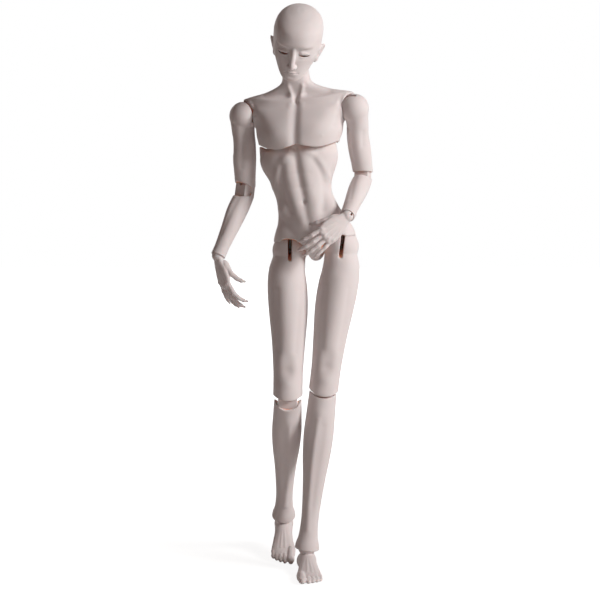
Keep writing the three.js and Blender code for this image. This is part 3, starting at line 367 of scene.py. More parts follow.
def open_up(thing, cutters):
    tools = [put("cutter", cutter) for cutter in cutters]
    for tool in tools:
        change = thing.modifiers.new("cut", "BOOLEAN")
        change.operation, change.solver, change.object = "DIFFERENCE", "MANIFOLD", tool
    settle(thing)
    for tool in tools:
        bpy.data.objects.remove(tool)


def cast(name, forms, marks, cutters, grain, smoothing=8, edge=2, lip=1.4):
    """Casts one piece and returns its skin, with face material 1, painted glow, on the inside, deeper than
    the lip.
    """
    thing = put(name, together(forms))
    flow(thing, grain, smoothing)
    press(thing, marks)
    outer = BVHTree.FromPolygons([Vector(p) for p in points_of(thing)],
                                 [list(face.vertices) for face in thing.data.polygons])
    open_up(thing, cutters)
    flow(thing, grain * EDGE_GRAIN, edge)
    thing.data.materials.clear()
    thing.data.materials.append(None)
    thing.data.materials.append(None)
    # Faces deeper than the lip take the painted orange glow of light shining through the resin
    inside = [outer.find_nearest(face.center)[3] > lip for face in thing.data.polygons]
    thing.data.polygons.foreach_set("material_index", np.array(inside, np.int32))
    thing.data.polygons.foreach_set("use_smooth", np.ones(len(inside), bool))
    return thing


print("seats are cut with", EDGE_GRAIN, "of the grain")

# %% [markdown]
# Every piece has its own place: where it turns, which way it runs, and the axis that it bends about.
# Numbers typed in by hand would go stale with the next pose. The joints give all three instead, so each
# piece follows them.

# %% Places
def stand_at(origin, up, across):
    """From a piece's own millimetres to the room: Z runs up, X runs across."""
    up = up / np.linalg.norm(up)
    across = across - up * (across @ up)
    across = across / np.linalg.norm(across)
    place = np.eye(4)
    place[:3, :3] = np.column_stack([across, np.cross(up, across), up]) / 1000
    place[:3, 3] = origin / 1000
    return place


def nodded(place, degrees):
    return place @ np.array(Matrix.Rotation(math.radians(degrees), 4, "X"))


def span_of(name):
    return joint_place("left_" + name) - joint_place("right_" + name)


def middle_of(name):
    return (joint_place("left_" + name) + joint_place("right_" + name)) / 2


room_up = np.array((0.0, 0.0, 1.0))
hand_bend = {"left": -42, "right": -40}
foot_pitch = {"left": 0, "right": 19.8}
places = {
    "lower_torso": stand_at(hip_middle, np.cross(span_of("hip_swing"), -joint_axis("left_hip_spread")),
                            span_of("hip_swing")),
    "chest": stand_at(middle_of("shoulder_swing"), joint_axis("waist_twist"), span_of("shoulder_swing")),
    "head": stand_at(joint_place("neck_nod"), joint_axis("head_turn"),
                     np.cross(joint_axis("cap_lift"), joint_axis("head_turn"))),
}
places["head_cap"] = places["head"]
for side in ("left", "right"):
    at = {name: joint_place(f"{side}_{name}") for name in (
        "shoulder_raise", "elbow_upper", "elbow_lower", "wrist_bend", "hip_swing", "knee_upper", "knee_lower",
        "ankle_bend")}
    bend = {name: joint_axis(f"{side}_{name}") for name in at}
    elbow_axis, knee_axis = -bend["elbow_upper"], bend["knee_upper"]
    along_forearm = at["elbow_lower"] - at["wrist_bend"]
    along_shin = at["knee_lower"] - at["ankle_bend"]
    for kind, first, second, axis in (
            ("upper_arm", "shoulder_raise", "elbow_upper", elbow_axis),
            ("elbow", "elbow_upper", "elbow_lower", elbow_axis),
            ("forearm", "elbow_lower", "wrist_bend", elbow_axis),
            ("thigh", "hip_swing", "knee_upper", knee_axis),
            ("knee", "knee_upper", "knee_lower", knee_axis)):
        places[f"{side}_{kind}"] = stand_at(at[first], at[first] - at[second], axis)
    shin_up = along_shin - knee_axis * (along_shin @ knee_axis)
    places[f"{side}_shin"] = stand_at(at["knee_lower"], shin_up, knee_axis)
    hand = stand_at(at["wrist_bend"], along_forearm, bend["wrist_bend"])
    places[f"{side}_hand"] = nodded(hand, hand_bend[side])
    foot = stand_at(at["ankle_bend"], room_up, bend["ankle_bend"])
    places[f"{side}_foot"] = nodded(foot, foot_pitch[side])
print(len(places), "places")

# %% [markdown]
# The two sides of the body are mirror images. So a pair of pieces is cast once, for the doll's left side,
# and mirrored for its right. A mirror modifier would keep both in one mesh, and each has to be an object of
# its own. Mirroring turns a skin inside out, and its faces are flipped back.

# %% Setting pieces in place
casts = []


def finish_piece(thing, body, side=1):
    """Sets a cast piece in its place, mirrored for the right side, and ties it to its body."""
    thing.data.transform(Matrix(places[body] @ np.diag((side, 1, 1, 1))))
    if side < 0:
        thing.data.flip_normals()
    thing.data.update()
    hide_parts(body)
    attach(thing, body)
    casts.append(thing)
    return thing


def single(body, *recipe, **settings):
    thing = finish_piece(cast(body + "_cast", *recipe, **settings), body)
    print(body, len(thing.data.polygons), "faces")


def pair(kind, *recipe, **settings):
    """The left piece, and its mirror image."""
    left = cast(f"left_{kind}_cast", *recipe, **settings)
    right = bpy.data.objects.new(f"right_{kind}_cast", left.data.copy())
    bpy.context.scene.collection.objects.link(right)
    finish_piece(left, f"left_{kind}")
    finish_piece(right, f"right_{kind}", -1)
    print(kind, len(left.data.polygons), "faces")


print("pieces cast so far:", len(casts))

# %% [markdown]
# A strung doll holds together because its openings match. Each ball has a socket, and the elastic has a
# channel through every piece, with slots where it swings. They could be drawn piece by piece. Here they
# come from the same radii and gaps on both sides of a joint, so that nothing can drift apart.

# %% Joint sizes and openings
shoulder_ball, wrist_ball, neck_ball = 17.8, 7.6, 13
hip_ball, ankle_ball = 21.5, 11.6
seat_gap = 0.3
channel_radius, slot_width, knot_room = 1.9, 3.6, 6
hook_slot, hook_shank, hook_play, hook_room = 2.2, 16, 3.9, 4.4
# Slots and channels end this far past a surface, and saws reach this far past a piece
overshoot, beyond = 3, 60


def socket(radius, centre):
    return ball(radius + seat_gap, centre)


def channel(*stops):
    return [rod(a, b, channel_radius, sides=24) for a, b in zip(stops[:-1], stops[1:])] + [
        ball(channel_radius, stop) for stop in stops]


def side_slot(radius, start, end, direction, height=0.0, width=slot_width):
    return slab(fan(radius, start, end, direction, height), width, 0)


def front_slot(radius, start, end, direction):
    return slab(fan(radius, start, end, direction), slot_width, 1)


def below(height):
    """Everything under a height."""
    return slab([(-beyond, height), (beyond, height), (beyond, height - beyond), (-beyond, height - beyond)],
                2 * beyond, 0)


def lower_limb_room(end):
    """The room of the elastic in a forearm or shin, and of the hook at its far end."""
    end = np.array(end, float)
    towards = -end / np.linalg.norm(end)
    above_hook = end + towards * (hook_shank + hook_play)
    return channel(overshoot * towards, end) + [rod(end, above_hook, hook_room)]


def hook_seat(radius, swing):
    """The pin, the hook's loop round it and the slot that the hook swings in, inside a ball."""
    pin_room, loop_room = 1.45, 3.5
    reach = radius + overshoot
    return [rod((-reach, 0, 0), (reach, 0, 0), pin_room, sides=24),
            rod((-hook_slot / 2, 0, 0), (hook_slot / 2, 0, 0), loop_room),
            side_slot(reach, -swing, swing, 1, width=hook_slot)]


print("balls sit in sockets", seat_gap, "mm wider")

# %% [markdown]
# Elbows and knees are double hinges: a middle piece with two round lobes, between two limb ends that fold
# over it. A single hinge would stop the limb much sooner. All the limb ends are cut by one function, with a
# seat for the lobe, a slanted fold on the inner side of the bend and a curved rim, so that upper and lower
# ends match.

# %% Double hinges
elbow_lobe, elbow_link = (8.6, 8.8), 10.5
knee_lobe, knee_link = (11.6, 11.7), 13
fold_angle = 33


def hinge_end(height, lobe, direction, facing_down, rim_drop, limb_width, rim_rise=0.0):
    """The seat of the round lobe, the folding side and the curved rim."""
    radius, half_width = lobe
    turn = np.radians(np.linspace(-90, 90, 33))
    reach = radius + seat_gap
    seat = np.vstack([
        np.column_stack([reach * np.sin(turn), height + facing_down * reach * np.cos(turn)]),
        [[reach, height - facing_down * beyond], [-reach, height - facing_down * beyond]]])
    rise = facing_down * beyond * math.tan(math.radians(fold_angle))
    fold = np.array([[0, 0], [direction * beyond, rise], [direction * beyond, -facing_down * beyond],
                     [0, -facing_down * beyond]]) + (0, height)
    share = np.linspace(-1, 1, 31)
    rim_reach = 1.2 * limb_width
    rim = np.column_stack([rim_reach * share, height + rim_rise - rim_drop * (1 - share**2)])
    end = height - facing_down * beyond
    rim = np.vstack([rim, [[rim_reach, end], [-rim_reach, end]]])
    return [slab(seat, 2 * (half_width + seat_gap), 0), slab(fold, 4 * limb_width, 0),
            slab(rim, 2 * beyond, 1)]


def link_piece(lobe, link, direction):
    """The middle piece of an elbow or knee, between its two round lobes."""
    radius, half_width = lobe
    lobes = [rod((-half_width, 0, z), (half_width, 0, z), radius, sides=72) for z in (0, -link)]
    core = slab([(-radius, 0), (radius, 0), (radius, -link), (-radius, -link)], 2 * half_width, 0)
    reach = radius + overshoot
    cutters = channel((0, 0, reach), (0, 0, -link - reach)) + [
        side_slot(reach, 0, 80, direction), side_slot(reach, 100, 180, direction, -link)]
    return lobes + [core], [], cutters


print("hinge links", elbow_link, "and", knee_link, "mm")

# %% [markdown]
# The lower torso is ribs, belly and pelvis in one casting, with a dome on top that the chest rocks on. Its
# body is a single loft, since the waist is one long soft curve. The rows are shares of its length, half
# width and half depth, so that the proportions can be read off and the size changed in one place. Belly,
# loins and seat are marks.

# %% Lower torso
def scaled(rows, length, half_width, half_depth):
    """Rows of shares of a piece's length, half width and half depth, in millimetres."""
    return np.array(rows, float) * (length, half_width, half_depth, half_depth, half_width, half_depth)


waist = (-7.5, 6, 119)
torso_rows = scaled([
    (-0.10, .20, .34, .40, 0, .10), (-.06, .56, .58, .74, 0, .06), (0, .86, .76, .98, 0, .02),
    (.09, .99, .86, 1.04, 0, 0), (.18, .95, .88, 1.00, 0, 0), (.28, .84, .86, .90, -.02, 0),
    (.40, .74, .83, .80, -.08, .02), (.52, .69, .82, .76, -.15, .06), (.62, .70, .84, .78, -.20, .10),
    (.73, .77, .90, .82, -.21, .14), (.85, .90, .94, .88, -.225, .17), (.95, .95, .94, .91, -.225, .19),
    (1.04, .90, .87, .86, -.22, .20)], length=119, half_width=51, half_depth=30)
torso_marks = [
    # The line down the belly, and the navel with its upper edge
    line([(-11.8, 122), (-10.3, 103.5), (-8.2, 79), (-6, 60)], 4.6, -2.0),
    line([(-6, 56), (-3.5, 40), (-1, 24)], 4.0, -1.0),
    spot(-6, 58, 1.7, 3.0, -2.4), spot(-6, 61, 3.6, 3, 0.7),
    # The long belly muscles, the grooves beside them and two faint folds across
    line([(-1, 112), (0, 98), (2.5, 78), (6, 57), (7, 40)], 8.0, 2.0),
    line([(-21, 110), (-22.5, 95), (-18.5, 70), (-14.5, 50), (-9, 36)], 8.0, 2.0),
    line([(11, 108), (16.5, 97), (19.5, 84), (18.5, 62), (16, 46)], 4.6, -1.5),
    line([(-30, 104), (-31.3, 88), (-29.5, 68), (-23, 48)], 4.6, -1.5),
    line([(-24, 93), (4, 92)], 2.6, -0.4), line([(-21, 76), (5, 75)], 2.6, -0.35),
    # The lower ribs
    line([(4, 120), (11, 112), (18.5, 101), (24, 88), (31, 79)], 4.4, 1.4),
    line([(-17, 119), (-27, 110), (-34, 99), (-40, 87), (-45, 78)], 4.4, 1.4),
    # The groins, the hip bones and the lower belly
    line([(38, 47), (31, 32), (22, 20), (12, 8)], 5.4, -1.5),
    line([(-40, 47), (-32, 32), (-23, 20), (-13, 8)], 5.4, -1.5),
    spot(34, 48, 8, 8, 2.6), spot(-37, 48, 8, 8, 2.6), spot(0, 34, 15, 13, 1.6),
    # Behind: the seat, the spine with a muscle on each side, the cleft and two dimples
    spot(22, -2, 17, 19, 4.8, BACK), spot(-22, -2, 17, 19, 4.8, BACK),
    line([(-9, 118), (-8.5, 95), (-6, 70), (-2, 42), (0, 28)], 4.6, -2.6, BACK),
    line([(5, 112), (6, 80), (10, 48)], 7.0, 1.3, BACK),
    line([(-21, 112), (-19, 80), (-11, 48)], 7.0, 1.3, BACK),
    line([(0, 22), (0, 0), (0, -16)], 2.4, -4.5, BACK),
    spot(11, 33, 3, 3, -1.4, BACK), spot(-11, 33, 3, 3, -1.4, BACK),
]
print(len(torso_marks), "marks on the lower torso")

# %% [markdown]
# Over each thigh the pelvis is cut to a high arch, which lets the leg swing far forwards. The arch is lower
# at the back, under the seat, so a single sawn outline won't do. It is a skin through outlines from front
# to back.

# %% Arches over the thighs
crotch_half, outer_side = 5.2, 80
arch_stops = [(5.2, -16), (6.9, -8), (9.5, 0), (13, 6.4), (18.5, 11.8), (25, 14.6), (32, 15.6), (40, 14.2),
              (48, 10), (62, 0)]
arch = smooth_rows([(place, *stop) for place, stop in enumerate(arch_stops)], 40)[:, 1:]


def leg_opening(side):
    """The arch over a thigh. It sinks towards the back of the pelvis."""
    rings = []
    for y in np.linspace(-beyond, beyond, 61):
        height = np.interp(y, (-19, -8, 6), (1.0, 0.5, 0.0))
        edge = np.column_stack([arch[:, 0], np.where(arch[:, 1] > 0, arch[:, 1] * height, arch[:, 1])])
        edge = np.vstack([edge, [[outer_side, 0], [outer_side, -beyond], [crotch_half, -beyond]]])
        rings.append(np.column_stack([side * edge[:, 0], np.full(len(edge), y), edge[:, 1]]))
    return skin(np.array(rings))


waist_slot = fan(32, -30, 30, 1, waist[2]) + np.array((waist[1], 0))
torso_cutters = [slab(waist_slot, slot_width, 0, middle=waist[0]), ball(knot_room, waist)]
elastic_fork, hip_aside, hip_channel_top = (0, 0, 50), 32, 28
torso_cutters += channel(elastic_fork, waist)
for side in (1, -1):
    hip = (side * hip_aside, 0, 0)
    torso_cutters += [leg_opening(side), socket(hip_ball, hip)]
    torso_cutters += channel(hip, (side * hip_aside, 0, hip_channel_top), elastic_fork)
# The side of the ribs that stands up under the chest's edge
rib_edge = slab([(-42, 104), (-42, 122), (-46, 123.2), (-50, 125.7), (-54, 128.3), (-58.4, 130.7),
                 (-59, 120), (-56, 104)], 16, 1, middle=waist[1])
waist_dome, crotch = oval(waist, (44, 29, 29), 96), oval((0, 0, 0), (10.5, 17.5, 15.4))
single("lower_torso", [loft(torso_rows, squareness=2.25), waist_dome, crotch, rib_edge],
       torso_marks, torso_cutters, grain=1.1)

# %% [markdown]
# The chest carries the arms and the neck. The breast muscles, neck cords and shoulder blades are soft, and
# marks are enough for them. They are made for one side and mirrored, but the midlines are pressed once. The
# collar bones stand proud, so they are tubes that run into the skin.

# %% Chest
chest_rows = scaled([
    (-1.04, .78, 1.02, .86, -.03, .06), (-.88, .785, 1.06, .90, -.028, .06),
    (-.62, .835, 1.04, .95, -.01, .06),
    (-.30, .87, .96, 1.00, 0, .06), (0, 1.00, .85, 1.00, 0, .08), (.24, 1.07, .69, .92, 0, .10),
    (.40, 1.09, .52, .76, 0, .12), (.50, 1.01, .44, .65, 0, .12), (.60, .68, .42, .58, 0, .08),
    (.71, .45, .42, .50, 0, .02), (.83, .31, .42, .45, 0, -.06), (.98, .265, .41, .42, 0, -.14),
    (1.15, .26, .40, .40, 0, -.20), (1.32, .225, .36, .36, 0, -.265)],
    length=43, half_width=63, half_depth=34)
shoulder_span = 68.4
chest_marks = both_sides([
    spot(26, -25, 19, 14, 3.6), spot(38, -8, 13, 12, 1.6),
    line([(9, 14.8), (21, 14.4), (34, 15.3), (47, 17.5), (59, 19)], 2.6, 1.5),
    line([(14, 20.5), (26, 21), (40, 23)], 4.0, -1.4), line([(13, 8.5), (30, 7.6), (47, 9.5)], 5.0, -1.1),
    line([(8.6, 31), (6.4, 22), (4.2, 13.5)], 2.5, 1.8),
    spot(54.6, 7.4, 3.0, 5.0, -2.8), line([(53, 8), (49, -6), (44, -20)], 3.4, -0.5),
    spot(30, -31, 1.3, 1.3, 0.3),
    ring((shoulder_span, 0, 0), 20.0, 1.3, 0.9),
    spot(28, -10, 13, 20, 2.4, BACK), line([(12, -30), (17, -5), (20, 12)], 4.0, -1.2, BACK),
    line([(20, 16), (36, 13), (50, 16)], 3.4, 1.2, BACK),
]) + [
    line([(0, 10), (-1, -10), (-2, -26), (-2.4, -42)], 5.6, -2.9), spot(0, 15.5, 3.2, 4.6, -2.6),
    line([(0, 34), (0, 10), (0, -20), (0, -44)], 5.0, -2.8, BACK),
]
print(len(chest_marks), "marks on the chest")

# %% [markdown]
# The chest's lower edge is a double curve under the breast muscles. A smooth outline saws it, an oval
# hollows it for the dome of the waist, and a well in the neck's ball gives the head's hook its room.
# Booleans do this, because the edges have to stay where the joints want them.

# %% The chest's edges and openings
neck, neck_top = (0, -9, 57), (0, -9, 70.4)
waist_from_chest = (0, 6, -48)
under_edge = smooth_rows([
    (-75.6, -34.4), (-50.4, -37), (-37.8, -42.1), (-24, -44.4), (-11.3, -42.4), (0, -39.4),
    (11.3, -42.4), (24, -44.4), (37.8, -42.1), (50.4, -37), (75.6, -34.4)], 60)
under_edge = np.vstack([under_edge, [[76, -110], [-76, -110]]])
chest_forms = [loft(chest_rows, squareness=2.2), ball(neck_ball, neck)]
chest_cutters = [slab(under_edge, 2 * beyond, 1), oval(waist_from_chest, (46.8, 31.8, 31.8), 96),
                 ball(5.4, neck), rod(neck, neck_top, 5.2, 12.6)]
chest_cutters += channel(waist_from_chest, neck)
chest_cutters += channel((-shoulder_span, 0, 0), (-25.2, 3.9, 0), (25.2, 3.9, 0), (shoulder_span, 0, 0))
for side in (1, -1):
    chest_forms.append(tube([(side * 8, 4, 37, 6, 6), (side * 19, 6, 26.5, 6.5, 7),
                             (side * 35, 7, 20.5, 7, 7.5), (side * 53, 5, 14.5, 6, 8)]))
    chest_cutters.append(socket(shoulder_ball, (side * shoulder_span, 0, 0)))
single("chest", chest_forms, chest_marks, chest_cutters, grain=1.05)

# %% [markdown]
# The head is a bald skull with a narrow face. Rows of height, width, front and back draw its two outlines,
# and the same rows, a little inset, make the hollow that is cut out later. So the wall is even without a
# solidify modifier.

# %% Skull
head_height, head_width, head_depth, below_joint = 77.5, 30, 37.0, 3
# Height, half width, front and back, as shares
head_rows = np.array([
    (.052, .17, 1.06, -.85), (.076, .33, 1.12, -.70), (.115, .465, 1.13, -.45), (.20, .67, 1.10, .22),
    (.32, .845, 1.05, .68), (.41, .91, 1.035, .86), (.50, .955, 1.02, .94), (.62, .975, 1.03, .99),
    (.73, .97, 1.01, .99), (.85, .865, .88, .90), (.94, .61, .60, .69), (.985, .32, .30, .40),
    (1.00, .14, .14, .22)])


def skull(inset):
    """The skull's skin, or the same one set in by a wall."""
    height = head_rows[:, 0] * head_height - below_joint
    front, rear = -head_depth * head_rows[:, 2] + inset, head_depth * head_rows[:, 3] - inset
    return loft(np.column_stack([
        height - np.where(head_rows[:, 0] > 0.5, inset, 0),
        np.maximum(head_width * head_rows[:, 1] - inset, 1.0),
        (rear - front) / 2, (rear - front) / 2, 0 * height, (rear + front) / 2]), squareness=2.15)


print("skull", head_height, "mm high")

# %% [markdown]
# Nose, lips, chin, lids and ears stand out from the skull, and each is a small form run into it. Sculpting
# would be quicker for an artist, but a face made of a few forms can be changed by a millimetre and keeps
# its symmetry.

# %% Face and ears
eye_x, eye_z = 12.3, 37.0
head_forms = [
    skull(0),
    # The nose and its wings
    tube([(0, -36.4, 44, 3.6, 2.8), (0, -38.4, 38, 3.0, 3.2), (0, -41.0, 30, 3.1, 3.5),
          (0, -43.6, 23.6, 3.3, 3.6), (0, -42.2, 20.4, 2.7, 2.3)]),
    oval((3.5, -40.8, 21.4), (2.3, 3.4, 2.4)), oval((-3.5, -40.8, 21.4), (2.3, 3.4, 2.4)),
    # The upper lip, the lower lip and the chin
    tube([(-8.0, -36.8, 13.4, .8, 1.2), (-3.6, -39.7, 14.0, 1.2, 1.7), (0, -40.4, 13.8, 1.2, 1.8),
          (3.6, -39.7, 14.0, 1.2, 1.7), (8.0, -36.8, 13.4, .8, 1.2)]),
    tube([(-6.6, -37.2, 12.2, .8, 1.2), (-2.8, -39.4, 11.1, 1.3, 1.8), (2.8, -39.4, 11.1, 1.3, 1.8),
          (6.6, -37.2, 12.2, .8, 1.2)]),
    oval((0, -35.6, 4.8), (8.0, 6.2, 4.4)),
]
for side in (1, -1):
    head_forms += [
        # The eyeball under its lids
        oval((side * eye_x, -28.4, eye_z + 0.6), (7.0, 6.6, 5.6)),
        # The ear: its outer fold from the front over the top to the lobe, and the shell inside it
        tube([(side * 27.2, -7.5, 26, 1.1, 1.4), (side * 28.4, -7, 31, 1.2, 1.5),
              (side * 30.8, -2.5, 34.6, 1.3, 1.5), (side * 32.2, 3.2, 32, 1.2, 1.5),
              (side * 31.0, 4.2, 26, 1.2, 1.6), (side * 27.6, 0.6, 19, 1.5, 1.8),
              (side * 23.8, -4.4, 15.0, 2.0, 2.2)], flat_to=(1, 0, 0)),
        oval((side * 27.4, -1.8, 25.4), (2.4, 6.6, 9.4), turn=(-12, side * 20, -side * 22)),
        oval((side * 23.4, -5.0, 19), (4.5, 6, 7)),
    ]
print(len(head_forms), "forms in the head")

# %% [markdown]
# Marks then soften the forms into a face: brows and the hollows beside the nose, the crease of each lid,
# cheeks, nostrils and the line between the lips. The lids are lowered over open slits. Each slit is cut
# through into a small hollow behind it, since painted eyes would look flat from the side.

# %% Features and eye slits
head_marks = both_sides([
    lump((11, -33, 47.6), (11, 6, 3.4), 1.5), lump((eye_x, -34, 42.4), (9.0, 6, 2.4), -2.6),
    lump((6.4, -36, 38), (2.4, 5, 4.6), -2.0),
    line([(6.4, 40.0), (9.2, 40.8), (12.6, 40.8), (16, 40.0), (18.8, 38.2)], 0.8, -0.6),
    line([(7.4, 32.8), (12.3, 31.0), (17.4, 31.6)], 1.5, -0.3),
    lump((22, -27, 29), (7, 8, 5), 0.8), lump((18, -27, 18), (6, 9, 6), -0.5),
    lump((27, -20, 46), (6, 9, 8), -0.6),
    lump((2.1, -43.2, 18.9), (1.2, 1.3, 1.1), -0.9),
    line([(5.6, 23.8), (6.2, 21.4), (5.2, 19.2)], 0.9, -0.5),
    lump((31, -1, 27), (3, 2.8, 4.4), -1.2),
]) + [
    line([(-8.4, 13.0), (-4, 12.8), (0, 12.5), (4, 12.8), (8.4, 13.0)], 0.7, -1.1),
    line([(0, 18.4), (0, 15.8)], 1.0, -0.4), spot(0, 8.4, 4.6, 1.5, -0.8),
]


def eye_opening(side):
    slit = tube([(side * 6.7, -32.0, eye_z - 0.6, .3, 4), (side * 9.2, -33.0, eye_z - 1.6, 1.1, 4),
                 (side * 12.6, -32.8, eye_z - 2.1, 1.35, 4), (side * 16, -31.2, eye_z - 2.2, 1.1, 4),
                 (side * 18.6, -29.0, eye_z - 1.8, .3, 4)])
    return [slit, oval((side * eye_x, -28.6, eye_z - 0.8), (6.6, 4.4, 4.6))]


print(len(head_marks), "marks on the head")

# %% [markdown]
# The back of the head lifts off, because the elastic is hooked over a bar inside. Its seam leans and runs
# behind the ears. Head and cap are cast from the same skull and cut along the same plane from its two
# sides, which leaves an even seam. Two wells in each rim hold the magnets.

# %% Head and cap
wall, floor_of_head, neck_hole, neck_hole_top = 4.5, 19, 3.9, 22
hollow_points, hollow_faces = skull(wall)
hollow_points[:, 2] = np.maximum(hollow_points[:, 2], floor_of_head)
head_cutters = [(hollow_points, hollow_faces), socket(neck_ball, (0, 0, 0)),
                rod((0, 0, 0), (0, 0, neck_hole_top), neck_hole)]
cap_cutters = list(head_cutters)
head_cutters += eye_opening(1) + eye_opening(-1)
seam_angle = math.radians(12)
lean, seam_y = math.tan(seam_angle), 7.8
magnet_x, magnet_z, magnet_well_radius = 24.6, 35.4, 1.85
magnet_y = seam_y + magnet_z * lean
seam_normal = np.array((0, math.cos(seam_angle), -math.sin(seam_angle)))


def magnet_well(side, start, end):
    place = np.array((side * magnet_x, magnet_y, magnet_z))
    return rod(place + seam_normal * start, place + seam_normal * end, magnet_well_radius)


def half_space(seam, far):
    """All that lies on the far side of the leaning seam."""
    low, high = -80, 160
    outline = [(seam + low * lean, low), (far, low), (far, high), (seam + high * lean, high)]
    return slab(outline, 2 * abs(far), 0)


behind, before = half_space(seam_y, 120), half_space(seam_y + seat_gap, -120)
single("head", head_forms, head_marks,
       head_cutters + [behind, magnet_well(1, -2.4, 3), magnet_well(-1, -2.4, 3)], grain=0.72, smoothing=4)
single("head_cap", head_forms[:1], [],
       cap_cutters + [before, magnet_well(1, -3, 2.7), magnet_well(-1, -3, 2.7)], grain=0.8)

# %% [markdown]
# The upper arm ends in the shoulder's ball, slotted so that the elastic can stay straight while the arm is
# raised. Below it the limb is one loft, and marks give the muscles in front and behind. The elbow piece is
# small and its lobes have to be round, so it is cast with a much finer grain.

# %% Upper arms and elbows
upper_arm_length, arm_half_width = 87, 13.4
upper_arm_rows = scaled([
    (-1.05, .93, .88, .88, 0, 0), (-.86, .96, .94, .92, 0, 0), (-.62, 1.02, 1.04, .98, -.03, 0),
    (-.40, .985, 1.02, 1.00, -.03, 0), (-.20, .985, 1.06, 1.03, .10, 0), (-.06, 1.13, 1.14, 1.12, .10, 0),
    (.02, 1.22, 1.15, 1.14, .04, 0)], upper_arm_length, arm_half_width, half_depth=14.2)
upper_arm_marks = [
    spot(1, -50, 8, 17, 1.3), line([(-9, -22), (-8, -40), (-7, -62)], 2.6, -0.8),
    line([(10, -26), (8, -44)], 2.6, -0.8),
    spot(4, -48, 8, 18, 1.2, BACK), lump((13, 0, -24), (6, 9, 10), 0.8)]
upper_arm_cutters = [front_slot(20.8, -14, 112, -1), ball(knot_room),
                     side_slot(14.6, 0, 50, -1, -upper_arm_length)]
upper_arm_cutters += channel((0, 0, 0), (0, 0, -upper_arm_length))
upper_arm_cutters += hinge_end(-upper_arm_length, elbow_lobe, direction=-1, facing_down=1, rim_drop=1.6,
                               limb_width=arm_half_width)
pair("upper_arm", [loft(upper_arm_rows), ball(shoulder_ball)], upper_arm_marks, upper_arm_cutters, grain=0.8)
pair("elbow", *link_piece(elbow_lobe, elbow_link, -1), grain=0.45, smoothing=3)

# %% [markdown]
# The forearm is widest below the elbow and ends in a cup for the wrist's ball. Inside, its channel widens
# into a room for the hook, which holds the hand to the elastic. The room is a rod a little longer than the
# hook, so that the hook can be pulled out when the doll is strung.

# %% Forearms
forearm_length, forearm_half_width = 84, 12.2
wrist = (0, 0, -forearm_length)
forearm_rows = scaled([
    (-1.06, .78, .72, .72, 0, 0), (-.96, .76, .70, .70, 0, 0), (-.85, .76, .70, .70, 0, 0),
    (-.60, .86, .84, .82, 0, 0), (-.34, .98, 1.00, .97, 0, 0), (-.14, 1.00, 1.00, 1.02, 0, 0),
    (.06, .95, .92, .98, 0, 0)], forearm_length, forearm_half_width, half_depth=12.6)
forearm_marks = [
    line([(-5, -6), (-3, -30), (0, -60)], 3.0, -0.7), spot(4, -22, 6, 16, 1.0),
    line([(6, -8), (4, -45), (3, -76)], 2.6, 0.7, BACK), lump((8, 4, -77), (3, 3, 4), 0.9)]
forearm_cutters = lower_limb_room(wrist) + [socket(wrist_ball, wrist), below(-forearm_length)]
forearm_cutters += hinge_end(0, elbow_lobe, direction=-1, facing_down=-1, rim_drop=1.6,
                             limb_width=forearm_half_width, rim_rise=4.5)
pair("forearm", [loft(forearm_rows)], forearm_marks, forearm_cutters, grain=0.7)

# %% [markdown]
# The hands hang half open, and each finger curls a little more at every joint. A skeleton with bones could
# pose them, but they never move on this doll, so a finger is one tube whose stops turn as they go. A stop
# lies at each joint and in the middle of each bone, with a narrower one at the tip.

# %% Fingers
def digit(base, length, radius, curl, spread):
    """A finger's stops, and the places of its knuckles and nail."""
    at, bend, stops = np.array(base, float), curl, [(*base, radius * 0.98, radius)]
    lean = math.radians(spread)
    for share, slim in ((0.40, 0.97), (0.28, 0.90), (0.20, 0.80), (0.12, 0.45)):
        tilt = math.radians(bend)
        aim = np.array((math.cos(tilt) * math.sin(lean), -math.sin(tilt), -math.cos(tilt) * math.cos(lean)))
        middle = at + aim * length * share / 2
        stops.append((*middle, radius * slim * 0.95, radius * slim * 0.93))
        at = at + aim * length * share
        stops.append((*at, radius * slim, radius * slim * 0.95))
        bend += curl
    return stops


print("a finger has", len(digit((0, 0, 0), 30, 3, 10, 0)), "stops")

# %% [markdown]
# The palm is a flat tube from the wrist's ball to the knuckles, which lie on a slight curve. Knuckles,
# nails and the cords on the back of the hand are marks placed from the fingers' own stops, so they stay
# right when a finger is made longer. A pin across the wrist's ball holds the hook.

# %% Hands
# Place across the palm, place of the knuckle, length, thickness, and curl and spread in degrees
fingers = [(.70, .92, .92, 1.00, 17, 4), (.23, .98, 1.00, 1.02, 14, 1), (-.24, .95, .94, .98, 11, -2),
           (-.68, .86, .78, .88, 6, -7)]
finger_length, finger_radius, thumb_length, thumb_radius = 37, 3.1, 32, 3.57
palm_half_width, palm_length = 14.2, 35
palm_stops = [(0, 0.6, -1.5, 7.0, 5.0), (0, 0.8, -8.6, 9.2, 5.0), (0, 0.2, -15.8, 12.5, 5.6),
              (0, 0, -28, 14.2, 5.3), (0, 0, -38, 13.2, 4.0)]
hand_forms = [ball(wrist_ball), tube(palm_stops)]
hand_marks = [lump((7, -5.5, -17), (5, 3, 9), 1.5), lump((-8, -5.5, -20), (4, 3, 9), 1.1),
              lump((0, -5.5, -27), (6, 3, 6), -1.3)]
for across, knuckle, long, thick, curl, spread in fingers:
    base = (palm_half_width * across, 0, -palm_length * knuckle - 3.8)
    stops = digit(base, finger_length * long, finger_radius * thick, curl, spread)
    hand_forms.append(tube(stops, sides=24, rings=40))
    hand_marks += [
        lump((base[0], 3.2, base[2] + 0.5), (2.4, 2.4, 2.6), 1.0),
        line([(base[0] * 0.35, 3.6, -12), (base[0] * 0.8, 4.6, -25), (base[0], 4.2, base[2])],
             1.1, 0.5, ROUND),
        lump((stops[2][0], stops[2][1] + 2.4, stops[2][2]), (2.0, 1.6, 1.6), 0.45),
        lump((stops[7][0], stops[7][1] + 2.6, stops[7][2] + 0.6), (1.5, 1.3, 1.9), -0.5)]
